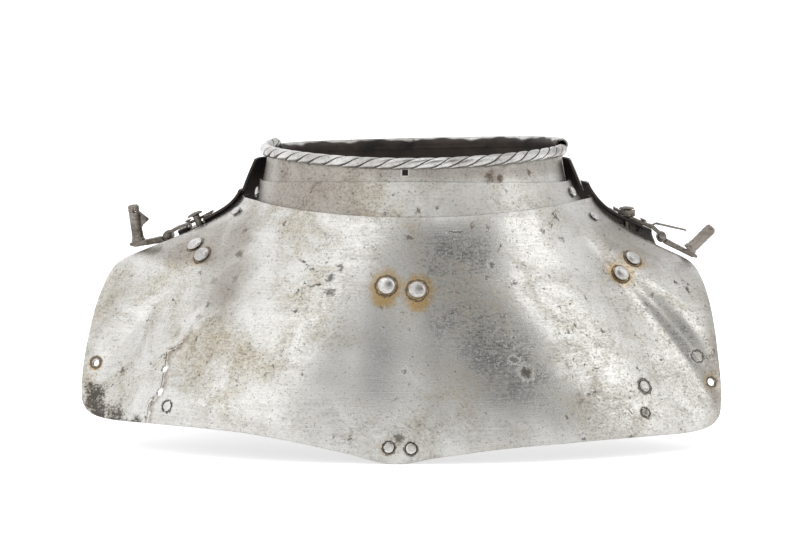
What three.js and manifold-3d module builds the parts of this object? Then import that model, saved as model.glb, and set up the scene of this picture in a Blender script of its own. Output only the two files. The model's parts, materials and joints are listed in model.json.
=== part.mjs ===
import * as THREE from 'three';
import Module from 'manifold-3d';

const wasm = await Module();
wasm.setup();

// Sizes in millimetres, z up, the front faces minus y
const overallWidth = 325.7; // the whole collar is stretched to these three from the tables below
const overallDepth = 256;
const overallHeight = 153.1;
const tableSpan = [325.7, 256, 153.1]; // width, depth and height that the tables give
const wall = 1.2; // thickness of the steel sheet
const clear = 0.35; // space left between two fitted pieces
const aside = 4.75; // the neck stands this far to the right of the middle of the plates
const ropeRadius = 2.9;
const ropeLead = 28; // length of one turn of the three strands
const ropeStart = -107; // degrees round the neck, 0 is the front and 90 the right side
const ropeEnd = 88;
const rollRadius = 3.2; // plain roll of the back rim
const rollBore = 2.2;
const rimDrop = 1.9; // the back rim sits lower by this in the middle
const rimSlope = 0.025; // and climbs to the right by this share
const postRadius = 3.1;
const postLengths = { left: 18.9, right: 16.2 };
const knuckleRadius = 2.7;
const pinRadius = 1.3;
const strapThick = 1.6;
const strapFront = 3; // the shoulder fittings lie between these two values of y
const strapBack = 13;
const hingePivot = [111, 6]; // rivet that both halves turn about
const swingOpen = 25; // degrees that the back half opens
const studPlace = [-112, 5]; // headed stud that closes the left shoulder
const leafThick = { left: 3, right: 2.4 };
// outer end of each turning leaf, foot and top of its post, as x and z
const postPlaces = {
  left: { leafEnd: [-150.1, 97.4], foot: [-145.5, 98.9], top: [-148.3, 117.6] },
  right: { leafEnd: [148.6, 91.6], foot: [144.4, 95.3], top: [155.2, 106] },
};

// Outlines of the two main plates, from the middle to the shoulder
const frontRows = [
  // neck angle, edge x, edge y, edge z, start out, start drop, end out, end drop
  [0, 0, -128, 0, 14, 60, 22, 125],
  [10, 23, -127.3, 4.2, 14, 60, 22, 123],
  [22, 54, -124, 9.2, 14, 58, 24, 120],
  [34, 88, -113, 12, 14, 55, 28, 116],
  [46, 122, -94.5, 12.6, 14, 50, 34, 112],
  [56, 149, -72, 12.4, 14, 45, 40, 110],
  [62, 160.5, -60.5, 16.5, 14, 42, 42, 106],
  [65.5, 162.8, -54.5, 28, 14, 40, 44, 102],
  [70, 161.6, -46, 46, 14, 38, 46, 92],
  [77, 158, -29, 69.5, 14, 37, 50, 62],
  [84, 152.5, -13, 85, 14, 36, 52, 36],
  [90, 145.5, -2, 91.2, 14, 36, 50, 22],
  [95, 131, 1.5, 96.2, 14, 36, 34, 14],
  [100, 114, 12, 100, 14, 34, 16, 6],
];
const backRows = [
  [0, 0, 128, 0, 14, 60, 22, 125],
  [15, 38, 126, 0, 14, 60, 22, 125],
  [30, 76, 116, 0, 14, 58, 24, 122],
  [42, 104, 100, 3, 14, 54, 28, 112],
  [52, 122, 83, 11, 14, 50, 34, 104],
  [60, 131, 66, 28, 14, 46, 36, 92],
  [67, 134.5, 50, 50, 14, 42, 38, 76],
  [74, 133, 36, 72, 14, 38, 38, 52],
  [80, 128.5, 24, 91, 14, 36, 34, 32],
  [85, 124.6, 12, 101.8, 14, 36, 32, 18],
  [90, 123.8, 2, 105.2, 14, 35, 30, 13],
  [93, 119, -3, 107.8, 14, 34, 24, 11],
];
// half width at the side, half depth, height at the middle, height at the side, corner flare
const frontNeck = [87, 84.2, 117.6, 123, 4.5];
const backNeck = [91.4, 85.4, 126, 128.3, 0];

// Neck rings: share of height, radius and height at the front or back, radius and height at the side
const ringRows = {
  frontUpper: [[0, 75.6, 143.3, 76.2, 147], [0.33, 76.8, 135.5, 77.2, 140],
    [0.66, 78, 127, 79, 131.2], [1, 79.2, 119, 80.8, 123]],
  frontLower: [[0, 78.9, 135, 81.1, 131.9], [0.33, 80.4, 126, 82.8, 126],
    [0.66, 82, 117, 85.3, 120.3], [1, 83.7, 108, 91.6, 109.4]],
  backUpper: [[0, 75.6, 148.2, 76.6, 149.2], [0.33, 77, 140, 77.6, 140.5],
    [0.66, 78.4, 131.5, 79.1, 132.5], [1, 79.8, 123, 81.4, 124.5]],
  backLower: [[0, 79.8, 142.5, 82.5, 142.5], [0.33, 81, 135, 85.6, 135.5],
    [0.66, 82.2, 127.5, 87.6, 130.5], [1, 83.6, 119.5, 89.2, 126.4]],
};
// sideways place of each ring: offset, and more for each millimetre below a height
const ringShift = {
  // offset, slope, height
  frontUpper: [0.2, 0.2, 130], frontLower: [0.8, 0.2, 131.9], backUpper: [0, 0, 0], backLower: [-0.5, 0, 0],
};

const clamp = (x, lo, hi) => Math.min(hi, Math.max(lo, x));
const rise = (x) => clamp(x, 0, 1) ** 2 * (3 - 2 * clamp(x, 0, 1));
const add = (p, q, k = 1) => [p[0] + q[0] * k, p[1] + q[1] * k, p[2] + q[2] * k];
const less = (p, q) => add(p, q, -1);
const dot = (p, q) => p[0] * q[0] + p[1] * q[1] + p[2] * q[2];
const cross = (p, q) => [p[1] * q[2] - p[2] * q[1], p[2] * q[0] - p[0] * q[2], p[0] * q[1] - p[1] * q[0]];
const unit = (p) => p.map((v) => v / Math.hypot(...p));
const rad = (deg) => deg * Math.PI / 180;
const steps = (a, b, n) => Array.from({ length: n + 1 }, (_, i) => a + (b - a) * i / n);

// Smooth curve through the rows of a table, mirrored at its first row
function rowAt(rows, u) {
  const n = rows.length - 1;
  const k = Math.min(Math.floor(clamp(u, 0, n)), n - 1);
  const f = clamp(u, 0, n) - k;
  const row = (i) => {
    if (i < 0) return rows[-i].map((v, j) => (j < 2 ? -v : v));
    if (i > n) return rows[n].map((v, j) => 2 * v - rows[n - 1][j]);
    return rows[i];
  };
  const [a, b, c, d] = [row(k - 1), row(k), row(k + 1), row(k + 2)];
  return b.map((_, j) => 0.5 * (2 * b[j] + (c[j] - a[j]) * f
    + (2 * a[j] - 5 * b[j] + 4 * c[j] - d[j]) * f * f
    + (3 * b[j] - a[j] - 3 * c[j] + d[j]) * f ** 3));
}

// Point of a main plate: u runs along the outline, t from the neck edge to the outer edge
function plateAt(rows, neck, face, u, t) {
  const side = u < 0 ? -1 : 1;
  const [deg, ex, ey, ez, outA, dropA, outB, dropB] = rowAt(rows, Math.abs(u));
  const [a, b, zMiddle, zSide, flare] = neck;
  const s = Math.sin(rad(deg));
  const c = Math.cos(rad(deg));
  const start = [(a + flare * rise((deg - 66) / 24)) * s, face * b * c, zMiddle + (zSide - zMiddle) * s * s];
  const flat = Math.hypot(ex - start[0], ey - start[1]);
  const leave = [s * outA, face * c * outA, -dropA];
  const arrive = [(ex - start[0]) / flat * outB, (ey - start[1]) / flat * outB, -dropB];
  const h = [2 * t ** 3 - 3 * t * t + 1, t ** 3 - 2 * t * t + t, 3 * t * t - 2 * t ** 3, t ** 3 - t * t];
  const end = [ex, ey, ez];
  const p = start.map((v, i) => h[0] * v + h[1] * leave[i] + h[2] * end[i] + h[3] * arrive[i]);
  return [side * p[0], p[1], p[2]];
}

// The front half sits a little to the left and lower on its right, as the worn plates do
function frontAt(u, t) {
  const [x, y, z] = plateAt(frontRows, frontNeck, -1, u, t);
  const x2 = x + 1.9 - 6.4 * rise((123 - z) / 36);
  const share = 1 - 0.25 * clamp(Math.abs(x2) / 160, 0, 1);
  return [x2, y, z - 3.2 * clamp(x2 / 80, -1, 1) * rise((85 - z) / 60) * share];
}

function backAt(u, t) {
  const [x, y, z] = plateAt(backRows, backNeck, 1, u, t);
  return [x, y, z + 0.0215 * x * (0.25 + 0.75 * rise((z - 112) / 16)) * rise((z - 50) / 55)];
}

function ringAt(name, deg, t) {
  const rows = ringRows[name];
  const k = t < 0.33 ? 0 : t < 0.66 ? 1 : 2;
  const f = (t - rows[k][0]) / (rows[k + 1][0] - rows[k][0]);
  const v = rows[k].map((w, j) => w + (rows[k + 1][j] - w) * f);
  const w = Math.cos(rad(deg)) ** 2;
  const r = w * v[1] + (1 - w) * v[3];
  let z = w * v[2] + (1 - w) * v[4];
  if (name === 'frontUpper') z += tailLift(deg) * (1 - t);
  if (name === 'backUpper') z += rimTilt(deg) * (1 - t);
  const [offset, slope, below] = ringShift[name];
  const aslant = slope * clamp(below - z, 0, 13) * (1 - w);
  return [r * Math.sin(rad(deg)) + offset + aslant, -r * Math.cos(rad(deg)), z];
}

// The left tail of the roped rim climbs to meet the back rim
function tailLift(deg) {
  return 2.2 * rise((-90 - deg) / 18);
}

// The back rim leans a little to the left
function rimTilt(deg) {
  return rimSlope * 77 * Math.sin(rad(deg)) - rimDrop;
}

function rimAt(deg, back) {
  const w = Math.cos(rad(deg)) ** 2;
  const r = w * 75.5 + (1 - w) * 77.2;
  const level = back ? w * 148.7 + (1 - w) * 149.9 : w * 143.8 + (1 - w) * 147.6;
  const z = level + (back ? rimTilt(deg) : tailLift(deg));
  return [r * Math.sin(rad(deg)), -r * Math.cos(rad(deg)), z];
}

// Closed solid from points and triangles
function solid(points, faces) {
  const made = new wasm.Manifold(new wasm.Mesh({
    numProp: 3,
    vertProperties: new Float32Array(points.flat()),
    triVerts: new Uint32Array(faces.flat()),
  }));
  if (made.volume() > 0) return made;
  return solid(points, faces.map(([a, b, c]) => [a, c, b]));
}

function normalAt(at, u, t, uEnds, tEnds) {
  const e = 1e-3;
  const along = less(at(Math.min(u + e * 5, uEnds[1]), t), at(Math.max(u - e * 5, uEnds[0]), t));
  const down = less(at(u, Math.min(t + e, tEnds[1])), at(u, Math.max(t - e, tEnds[0])));
  const n = unit(cross(along, down));
  const p = at(u, t);
  return dot(n, [p[0], p[1], 40]) > 0 ? n : n.map((v) => -v);
}

// Sheet between two offsets along the normal of a surface
function sheet(at, us, ts, lift = 0, thick = wall) {
  const points = [];
  const faces = [];
  const n = us.length;
  const m = ts.length;
  const uEnds = [us[0], us[n - 1]];
  const tEnds = [ts[0], ts[m - 1]];
  for (const layer of [lift, lift - thick]) {
    for (const u of us) {
      for (const t of ts) points.push(add(at(u, t), normalAt(at, u, t, uEnds, tEnds), layer));
    }
  }
  const id = (i, j, layer) => layer * n * m + i * m + j;
  const quad = (a, b, c, d) => faces.push([a, b, c], [a, c, d]);
  for (let i = 0; i < n - 1; i++) {
    for (let j = 0; j < m - 1; j++) {
      quad(id(i, j, 0), id(i, j + 1, 0), id(i + 1, j + 1, 0), id(i + 1, j, 0));
      quad(id(i, j, 1), id(i + 1, j, 1), id(i + 1, j + 1, 1), id(i, j + 1, 1));
    }
    quad(id(i, 0, 0), id(i + 1, 0, 0), id(i + 1, 0, 1), id(i, 0, 1));
    quad(id(i, m - 1, 1), id(i + 1, m - 1, 1), id(i + 1, m - 1, 0), id(i, m - 1, 0));
  }
  for (let j = 0; j < m - 1; j++) {
    quad(id(0, j, 1), id(0, j + 1, 1), id(0, j + 1, 0), id(0, j, 0));
    quad(id(n - 1, j, 0), id(n - 1, j + 1, 0), id(n - 1, j + 1, 1), id(n - 1, j, 1));
  }
  return solid(points, faces);
}

// Rod along a path; section gives the radius at a station and an angle
function rod(pathAt, stations, sides, section, turnAt) {
  const points = [];
  const faces = [];
  stations.forEach((s) => {
    const p = pathAt(s);
    const out = unit([p[0], p[1], 0]);
    for (let k = 0; k < sides; k++) {
      const angle = k / sides * 2 * Math.PI + turnAt(s);
      const r = section(k);
      points.push([p[0] + out[0] * r * Math.cos(angle), p[1] + out[1] * r * Math.cos(angle),
        p[2] + r * Math.sin(angle)]);
    }
  });
  const last = stations.length - 1;
  for (let i = 0; i < last; i++) {
    for (let k = 0; k < sides; k++) {
      const a = i * sides + k;
      const b = i * sides + (k + 1) % sides;
      faces.push([a, b, b + sides], [a, b + sides, a + sides]);
    }
  }
  const ends = [points.length, points.length + 1];
  points.push(pathAt(stations[0]), pathAt(stations[last]));
  for (let k = 0; k < sides; k++) {
    faces.push([ends[0], (k + 1) % sides, k]);
    faces.push([ends[1], last * sides + k, last * sides + (k + 1) % sides]);
  }
  return solid(points, faces);
}

// Solid of revolution: profile of [radius, height] from the axis back to the axis
function turned(place, axis, profile, sides = 10) {
  const w = unit(axis);
  const across = unit(cross(w, Math.abs(w[1]) < 0.9 ? [0, 1, 0] : [1, 0, 0]));
  const other = cross(w, across);
  const points = [];
  const faces = [];
  const last = profile.length - 1;
  points.push(add(place, w, profile[0][1]));
  for (let i = 1; i < last; i++) {
    for (let k = 0; k < sides; k++) {
      const angle = k / sides * 2 * Math.PI;
      const [r, h] = profile[i];
      const p = add(add(place, across, r * Math.cos(angle)), other, r * Math.sin(angle));
      points.push(add(p, w, h));
    }
  }
  points.push(add(place, w, profile[last][1]));
  const end = points.length - 1;
  const id = (i, k) => 1 + (i - 1) * sides + k % sides;
  for (let k = 0; k < sides; k++) {
    faces.push([0, id(1, k + 1), id(1, k)]);
    for (let i = 1; i < last - 1; i++) {
      faces.push([id(i, k), id(i, k + 1), id(i + 1, k + 1)]);
      faces.push([id(i, k), id(i + 1, k + 1), id(i + 1, k)]);
    }
    faces.push([id(last - 1, k), id(last - 1, k + 1), end]);
  }
  return solid(points, faces);
}

const bar = (from, to, r, sides = 10) => turned(from, less(to, from),
  [[0, 0], [r, 0], [r, Math.hypot(...less(to, from))], [0, Math.hypot(...less(to, from))]], sides);

// Prism with its outline in x and z, between two values of y
function prism(outline, yA, yB) {
  const flat = outline.map(([x, z]) => new THREE.Vector2(x, z));
  const caps = THREE.ShapeUtils.triangulateShape(flat, []);
  const n = outline.length;
  const points = [yA, yB].flatMap((y) => outline.map(([x, z]) => [x, y, z]));
  const faces = caps.flatMap(([a, b, c]) => [[a, b, c], [a + n, c + n, b + n]]);
  const turnsLeft = THREE.ShapeUtils.area(flat) > 0;
  const capLeft = THREE.ShapeUtils.area(caps[0].map((i) => flat[i])) > 0;
  for (let i = 0; i < n; i++) {
    const j = (i + 1) % n;
    if (turnsLeft === capLeft) faces.push([i, i + n, j + n], [i, j + n, j]);
    else faces.push([i, j + n, i + n], [i, j, j + n]);
  }
  return solid(points, faces);
}

// Place on a surface that lies over a given x and y
function over(at, x, y, u, t) {
  let place = [u, t];
  for (let k = 0; k < 30; k++) {
    const [a, b] = place;
    const p = at(a, b);
    const pu = less(at(a + 1e-3, b), p).map((v) => v / 1e-3);
    const pt = less(at(a, b + 1e-3), p).map((v) => v / 1e-3);
    const det = pu[0] * pt[1] - pt[0] * pu[1];
    const dx = x - p[0];
    const dy = y - p[1];
    const [stepU, stepT] = [(dx * pt[1] - dy * pt[0]) / det, (pu[0] * dy - pu[1] * dx) / det];
    place = [a + clamp(stepU, -0.5, 0.5), b + clamp(stepT, -0.1, 0.1)];
  }
  return at(place[0], place[1]);
}
const backOver = (x, y) => over(backAt, x, y, Math.sign(x) * 9.7, 0.6)[2];

// Lowest and highest reach of a solid along an axis, within a radius of it
function reachOf(body, place, axis, r, from, to) {
  const met = bar(add(place, unit(axis), from), add(place, unit(axis), to), r, 10).intersect(body);
  const { vertProperties: v, numProp } = met.getMesh();
  const heights = [];
  for (let i = 0; i < v.length; i += numProp) {
    heights.push(dot(less([v[i], v[i + 1], v[i + 2]], place), unit(axis)));
  }
  return [Math.min(...heights), Math.max(...heights)];
}

// Rivet: head over the outer sheet, shank through both and a flat tail behind the inner one
function rivet(place, axis, outer, inner, { head, high, shank, tail, low = 0.8, sides = 8 }) {
  const base = reachOf(outer, place, axis, head, -1, 2.5)[1] + clear;
  const deep = clear - reachOf(inner, place, axis, tail, -13, 2)[0];
  const under = [[0, -deep - low], [tail, -deep - low], [tail, -deep], [shank, -deep]];
  const dome = [[shank, base], [head, base], [head * 0.72, base + high * 0.75], [0, base + high]];
  return turned(place, axis, [...under, ...dome], sides);
}

// Plug hammered flush with the sheet
function plug(place, axis, body, r, proud) {
  const deep = clear - reachOf(body, place, axis, r + 0.8, -6, 2)[0];
  const tail = [[0, -deep - 0.7], [r + 0.8, -deep - 0.7], [r + 0.8, -deep]];
  return turned(place, axis, [...tail, [r, -deep], [r, proud], [0, proud]], 8);
}

const drill = (place, axis, r, up = 5, down = 9) =>
  bar(add(place, unit(axis), -down), add(place, unit(axis), up), r, 8);

// Sheets
const fromNeck = (n, power) => steps(0, 1, n).map((s) => s ** power);
const frontStations = frontRows.length - 1;
const backStations = backRows.length - 1;
let frontPlate = sheet(frontAt, steps(-frontStations, frontStations, 36), fromNeck(7, 1.3));
let backPlate = sheet(backAt, steps(-backStations, backStations, 30), fromNeck(6, 1.3));
const ringShares = [0, 0.5, 1];
const lowerSpan = [...steps(-90, 84, 25), 88.4];
let frontLower = sheet((a, t) => ringAt('frontLower', a, t), lowerSpan, ringShares);
const upperSpan = [...steps(ropeStart, 84, 28), ropeEnd];
let frontUpper = sheet((a, t) => ringAt('frontUpper', a, t), upperSpan, ringShares);
const backSpan = [85, ...steps(90, 270, 24), 275];
let backLower = sheet((a, t) => ringAt('backLower', a, t), backSpan, ringShares);
const rollSpan = [ropeEnd + 0.7, ...steps(90, 246, 20), 252.5];
let backUpper = sheet((a, t) => ringAt('backUpper', a, t), rollSpan, ringShares);

// Roped rim of three strands, soldered to the upper front ring
const turnsPerDegree = rad(76.3) / ropeLead;
const ropeSteps = Math.round((ropeEnd - ropeStart) * turnsPerDegree * 6);
const strand = (k) => ropeRadius * [0.8, 1.04][k % 2];
const rope = rod((a) => rimAt(a, false), steps(ropeStart, ropeEnd, ropeSteps), 6, strand,
  (a) => (a - ropeStart) * turnsPerDegree * 2 * Math.PI);
frontUpper = frontUpper.add(rope);

// Plain hollow roll on the back ring
const boreSpan = [ropeEnd - 3, ...rollSpan.slice(1, -1), 256];
const roll = rod((a) => rimAt(a, true), rollSpan, 8, () => rollRadius, () => 0);
const bore = rod((a) => rimAt(a, true), boreSpan, 6, () => rollBore, () => 0);
backUpper = backUpper.add(roll).subtract(bore);

// Level foot: the back plate stands on its lower edge
const floorBox = new THREE.BoxGeometry(400, 400, 20);
floorBox.translate(0, 0, -10);
backPlate = backPlate.subtract(fromGeometry(floorBox));
frontPlate = frontPlate.subtract(fromGeometry(floorBox));

function fromGeometry(geometry) {
  const p = geometry.attributes.position;
  const seen = new Map();
  const points = [];
  const names = [];
  for (let i = 0; i < p.count; i++) {
    const q = [p.getX(i), p.getY(i), p.getZ(i)];
    const key = q.map((v) => v.toFixed(4)).join();
    if (!seen.has(key)) {
      seen.set(key, points.length);
      points.push(q);
    }
    names.push(seen.get(key));
  }
  const index = [...geometry.index.array].map((i) => names[i]);
  const last = index.length / 3 - 1;
  return solid(points, steps(0, last, last).map((i) => index.slice(3 * i, 3 * i + 3)));
}

const pieces = {};
const surfaces = { front: frontAt, back: backAt };
const ends = { front: frontStations, back: backStations };
const onPlate = (name, u, t) => {
  const at = surfaces[name];
  const place = at(u, t);
  return [place, normalAt(at, u, t, [-ends[name], ends[name]], [0, 1])];
};
const onRing = (name, a, t) => {
  const at = (b, s) => ringAt(name, b, s);
  return [at(a, t), normalAt(at, a, t, [-360, 360], [0, 1])];
};

// Domed rivets through the front plate alone
const domed = [
  // name, u, t, head radius, head height
  ['dome_left_rear', -8.2, 0.405, 4.3, 2],
  ['dome_left_front', -6.82, 0.37, 4.3, 2],
  ['dome_right_rear', 8.24, 0.495, 4.1, 2],
  ['dome_right_front', 6.77, 0.453, 4.1, 2],
  ['dome_middle_left', -0.28, 0.36, 4.4, 2.2],
  ['dome_middle_right', 0.61, 0.38, 4.4, 2.2],
];
for (const [name, u, t, head, high] of domed) {
  const [place, axis] = onPlate('front', u, t);
  pieces[name] = rivet(place, axis, frontPlate, frontPlate, { head, high, shank: 1.6, tail: 2.8 });
  frontPlate = frontPlate.subtract(drill(place, axis, 2));
}

// Old holes closed with flush plugs
const plugs = [
  ['plug_tip_left', -0.1, 0.94, 2.7],
  ['plug_tip_right', 0.4, 0.948, 2.7],
  ['plug_low_left', -3.84, 0.925, 2.5],
  ['plug_low_right', 4.4, 0.805, 3],
  ['plug_corner_right', 4.19, 0.905, 2.3],
];
for (const [name, u, t, r] of plugs) {
  const [place, axis] = onPlate('front', u, t);
  pieces[name] = plug(place, axis, frontPlate, r, 0.25);
  frontPlate = frontPlate.subtract(drill(place, axis, r + 0.46));
}

// Open holes in the front plate, and the worn crack down to its lower edge
const holes = [[-6.85, 0.88, 1.7], [-4.22, 0.78, 1.9], [-4.08, 0.87, 1.9], [6.81, 0.91, 2]];
for (const [u, t, r] of holes) frontPlate = frontPlate.subtract(drill(...onPlate('front', u, t), r));
const crack = [
  // u, t, half width
  [-4.13, 1.03, 0.7], [-4.12, 0.983, 0.55], [-4.17, 0.925, 0.35], [-4.08, 0.87, 0.45], [-4.11, 0.838, 0.35],
  [-4.22, 0.78, 0.4], [-4.27, 0.753, 0.35], [-4.4, 0.713, 0.35], [-4.23, 0.698, 0.3], [-4.21, 0.672, 0.2],
];
const boxFaces = [[0, 1, 3], [0, 3, 2], [4, 7, 5], [4, 6, 7], [0, 4, 5], [0, 5, 1], [2, 3, 7], [2, 7, 6],
  [0, 2, 6], [0, 6, 4], [1, 5, 7], [1, 7, 3]];
for (let i = 0; i < crack.length - 1; i++) {
  const points = [];
  for (const [u, t, half, more] of [[...crack[i], 0.008], [...crack[i + 1], -0.008]]) {
    const edge = less(frontAt(u, 1), frontAt(u, 0.98));
    const p = add(frontAt(u, Math.min(t, 1)), edge, Math.max(0, t - 1) / 0.02 + more / 0.02);
    const [, axis] = onPlate('front', u, Math.min(t, 1));
    for (const side of [-half, half]) {
      for (const lift of [2, -3]) points.push(add([p[0] + side, p[1], p[2]], axis, lift));
    }
  }
  frontPlate = frontPlate.subtract(solid(points, boxFaces));
}

// Rivets that let the neck rings tilt: lower ring on the plate, upper ring on the lower
const sliding = { head: 2.9, high: 1.6, shank: 1.5, tail: 2.4 };
function join(name, [place, axis], outer, inner) {
  pieces[name] = rivet(place, axis, outer, inner, sliding);
  return drill(place, axis, sliding.shank + 0.42, 4, 13);
}
const joined = [
  // side, place on the front plate (u, t), place on the lower ring (degrees, share of height)
  ['left', [-8.83, 0.165], [-81, 0.36]],
  ['right', [8.67, 0.193], [76.1, 0.315]],
];
for (const [side, low, high] of joined) {
  const lowTool = join(`ring_rivet_low_${side}`, onPlate('front', ...low), frontPlate, frontLower);
  const highTool = join(`ring_rivet_high_${side}`, onRing('frontLower', ...high), frontLower, frontUpper);
  frontPlate = frontPlate.subtract(lowTool);
  frontLower = frontLower.subtract(lowTool.add(highTool));
  frontUpper = frontUpper.subtract(highTool);
}
const backJoined = [
  // side, place on the back plate (u, t), place on the lower ring (degrees, share of height)
  ['left', [-4, 0.045], [222, 0.3]],
  ['right', [4, 0.045], [138, 0.3]],
];
for (const [side, low, high] of backJoined) {
  const lowTool = join(`back_rivet_low_${side}`, onPlate('back', ...low), backPlate, backLower);
  const highTool = join(`back_rivet_high_${side}`, onRing('backLower', ...high), backLower, backUpper);
  backPlate = backPlate.subtract(lowTool);
  backLower = backLower.subtract(lowTool.add(highTool));
  backUpper = backUpper.subtract(highTool);
}

// Small square hole under the rope
const hole = [-1, -77, 139.4];
const peg = new THREE.BoxGeometry(3, 12, 3);
peg.translate(...hole);
frontUpper = frontUpper.subtract(fromGeometry(peg));

// Pivot of the two halves on the right shoulder
const [px, py] = hingePivot;
const pivotTop = backOver(px, py) + 2.2;
const pivotTool = bar([px, py, 60], [px, py, 140], 2.1, 12);
const strapShape = (xs, y0, y1) => {
  const highest = (x) => Math.max(...[y0, (y0 + y1) / 2, y1].map((y) => backOver(x, y)));
  const low = xs.map((x) => [x, highest(x) + clear + 0.1]);
  return [low, low.map(([x, z]) => [x, z + strapThick]).reverse()];
};

// Shoulder strap with two outer barrels of the hinge
function strap(xs, knuckle, side, shape) {
  const [low, high] = strapShape(xs, strapFront, strapBack);
  const [kx, kz] = knuckle;
  const tip = low[low.length - 1];
  const neckDown = [[kx - side * 1.2, kz + 1], [kx - side * 0.6, kz + knuckleRadius]];
  const outline = [...low, ...neckDown, [tip[0] + side * 1, tip[1] + strapThick], ...high.slice(1)];
  let made = prism(outline, strapFront, strapBack);
  const middle = [strapFront + 3.3, strapBack - 3.3];
  const window = new THREE.BoxGeometry(8, middle[1] - middle[0], 14);
  window.translate(kx + side * 0.6, (middle[0] + middle[1]) / 2, kz);
  made = made.add(bar([kx, strapFront, kz], [kx, strapBack, kz], knuckleRadius, 14));
  made = made.subtract(fromGeometry(window));
  made = made.subtract(bar([kx, strapFront - 6, kz], [kx, strapBack + 6, kz], pinRadius + 0.35, 12));
  return shape(made);
}

const leftKnuckle = [-129.4, 101.4];
const rightKnuckle = [129.2, 101.6];
const strapXs = { left: [-106, -111, -116, -120, -124], right: [104, 108, 112, 116, 120, 124] };

let rightStrap = strap(strapXs.right, rightKnuckle, 1, (s) => s);
const bossTop = pivotTop + strapThick + 1.05;
rightStrap = rightStrap.add(bar([px, py, backOver(px, py) + 1.4], [px, py, bossTop], 4.6, 14));
const gapSpan = [steps(9 - 1.9, backStations, 11), steps(0.2, 1, 7)];
const gapBox = sheet(backAt, ...gapSpan, clear + 0.12, wall + 2 * clear + 4);
rightStrap = rightStrap.subtract(gapBox).subtract(pivotTool);
pieces.strap_right = rightStrap;
pieces.pivot_rivet = turned([px, py, 0], [0, 0, 1], [
  [0, 97], [4, 97], [4, 98.2], [1.7, 98.2], [1.7, bossTop + clear], [4.3, bossTop + clear],
  [3.9, bossTop + 1.1], [2.2, bossTop + 1.6], [0, bossTop + 1.9],
], 10);
frontPlate = frontPlate.subtract(pivotTool);
backPlate = backPlate.subtract(pivotTool);

// The right neck corner of the front half gives way to the back half as that swings open
const swungSpan = [steps(backStations - 3, backStations, 6), steps(0, 0.4, 4)];
const swungSheet = sheet(backAt, ...swungSpan, clear + 0.1, wall + 2 * clear + 0.2);
const cornerBox = new THREE.BoxGeometry(14, 16, 16);
cornerBox.translate(px - 17, py - 3, 117);
const corner = fromGeometry(cornerBox);
for (const deg of steps(4, swingOpen + 1, 7)) {
  const turn = new THREE.Matrix4().makeTranslation(px, py, 0)
    .multiply(new THREE.Matrix4().makeRotationZ(-rad(deg)))
    .multiply(new THREE.Matrix4().makeTranslation(-px, -py, 0));
  frontPlate = frontPlate.subtract(swungSheet.transform(turn.elements).intersect(corner));
}

// Stud and open notch on the left shoulder
const studAt = over(frontAt, studPlace[0], studPlace[1], -12, 0.6);
const studTilt = unit([-0.42, 0, 1]);
const slotWidth = 7.4;
const slotTool = new THREE.BoxGeometry(slotWidth, 60, 40);
slotTool.translate(studPlace[0] - 1.9, studPlace[1] + 3.2 - 30, 108);
const studSlot = fromGeometry(slotTool);
backPlate = backPlate.subtract(studSlot);
pieces.strap_left = strap(strapXs.left, leftKnuckle, -1, (s) => s.subtract(studSlot));
const studRise = backOver(...studPlace) - studAt[2];
const studHead = (studRise + strapThick + 1.1) / studTilt[2] * 1.02;
pieces.stud_left = turned(studAt, studTilt, [
  [0, -wall - 2.8], [3.4, -wall - 2.8], [3.4, -wall - 1.7], [1.9, -wall - 1.7], [1.9, studHead],
  [4.8, studHead + 0.2], [4.2, studHead + 1.1], [2.2, studHead + 1.6], [0, studHead + 1.8],
], 10);
frontPlate = frontPlate.subtract(drill(studAt, studTilt, 2.35));

// Small rivets that hold the straps to the back plate
const holders = [['left', -119], ['right', 119.5]];
for (const [side, x] of holders) {
  const name = `strap_${side}`;
  const tops = [x - 2, x + 2].map((v) => strapShape([v], strapFront, strapBack)[0][0][1] + strapThick);
  const axis = unit([(tops[0] - tops[1]) / 4, 0, 1]);
  const place = [x, 9, (tops[0] + tops[1]) / 2];
  pieces[`strap_rivet_${side}`] = rivet(place, axis, pieces[name], backPlate,
    { head: 2.2, high: 1, shank: 1, tail: 2, low: 0.6 });
  const tool = drill(place, axis, 1.4, 6, 12);
  backPlate = backPlate.subtract(tool);
  pieces[name] = pieces[name].subtract(tool);
}

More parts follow.
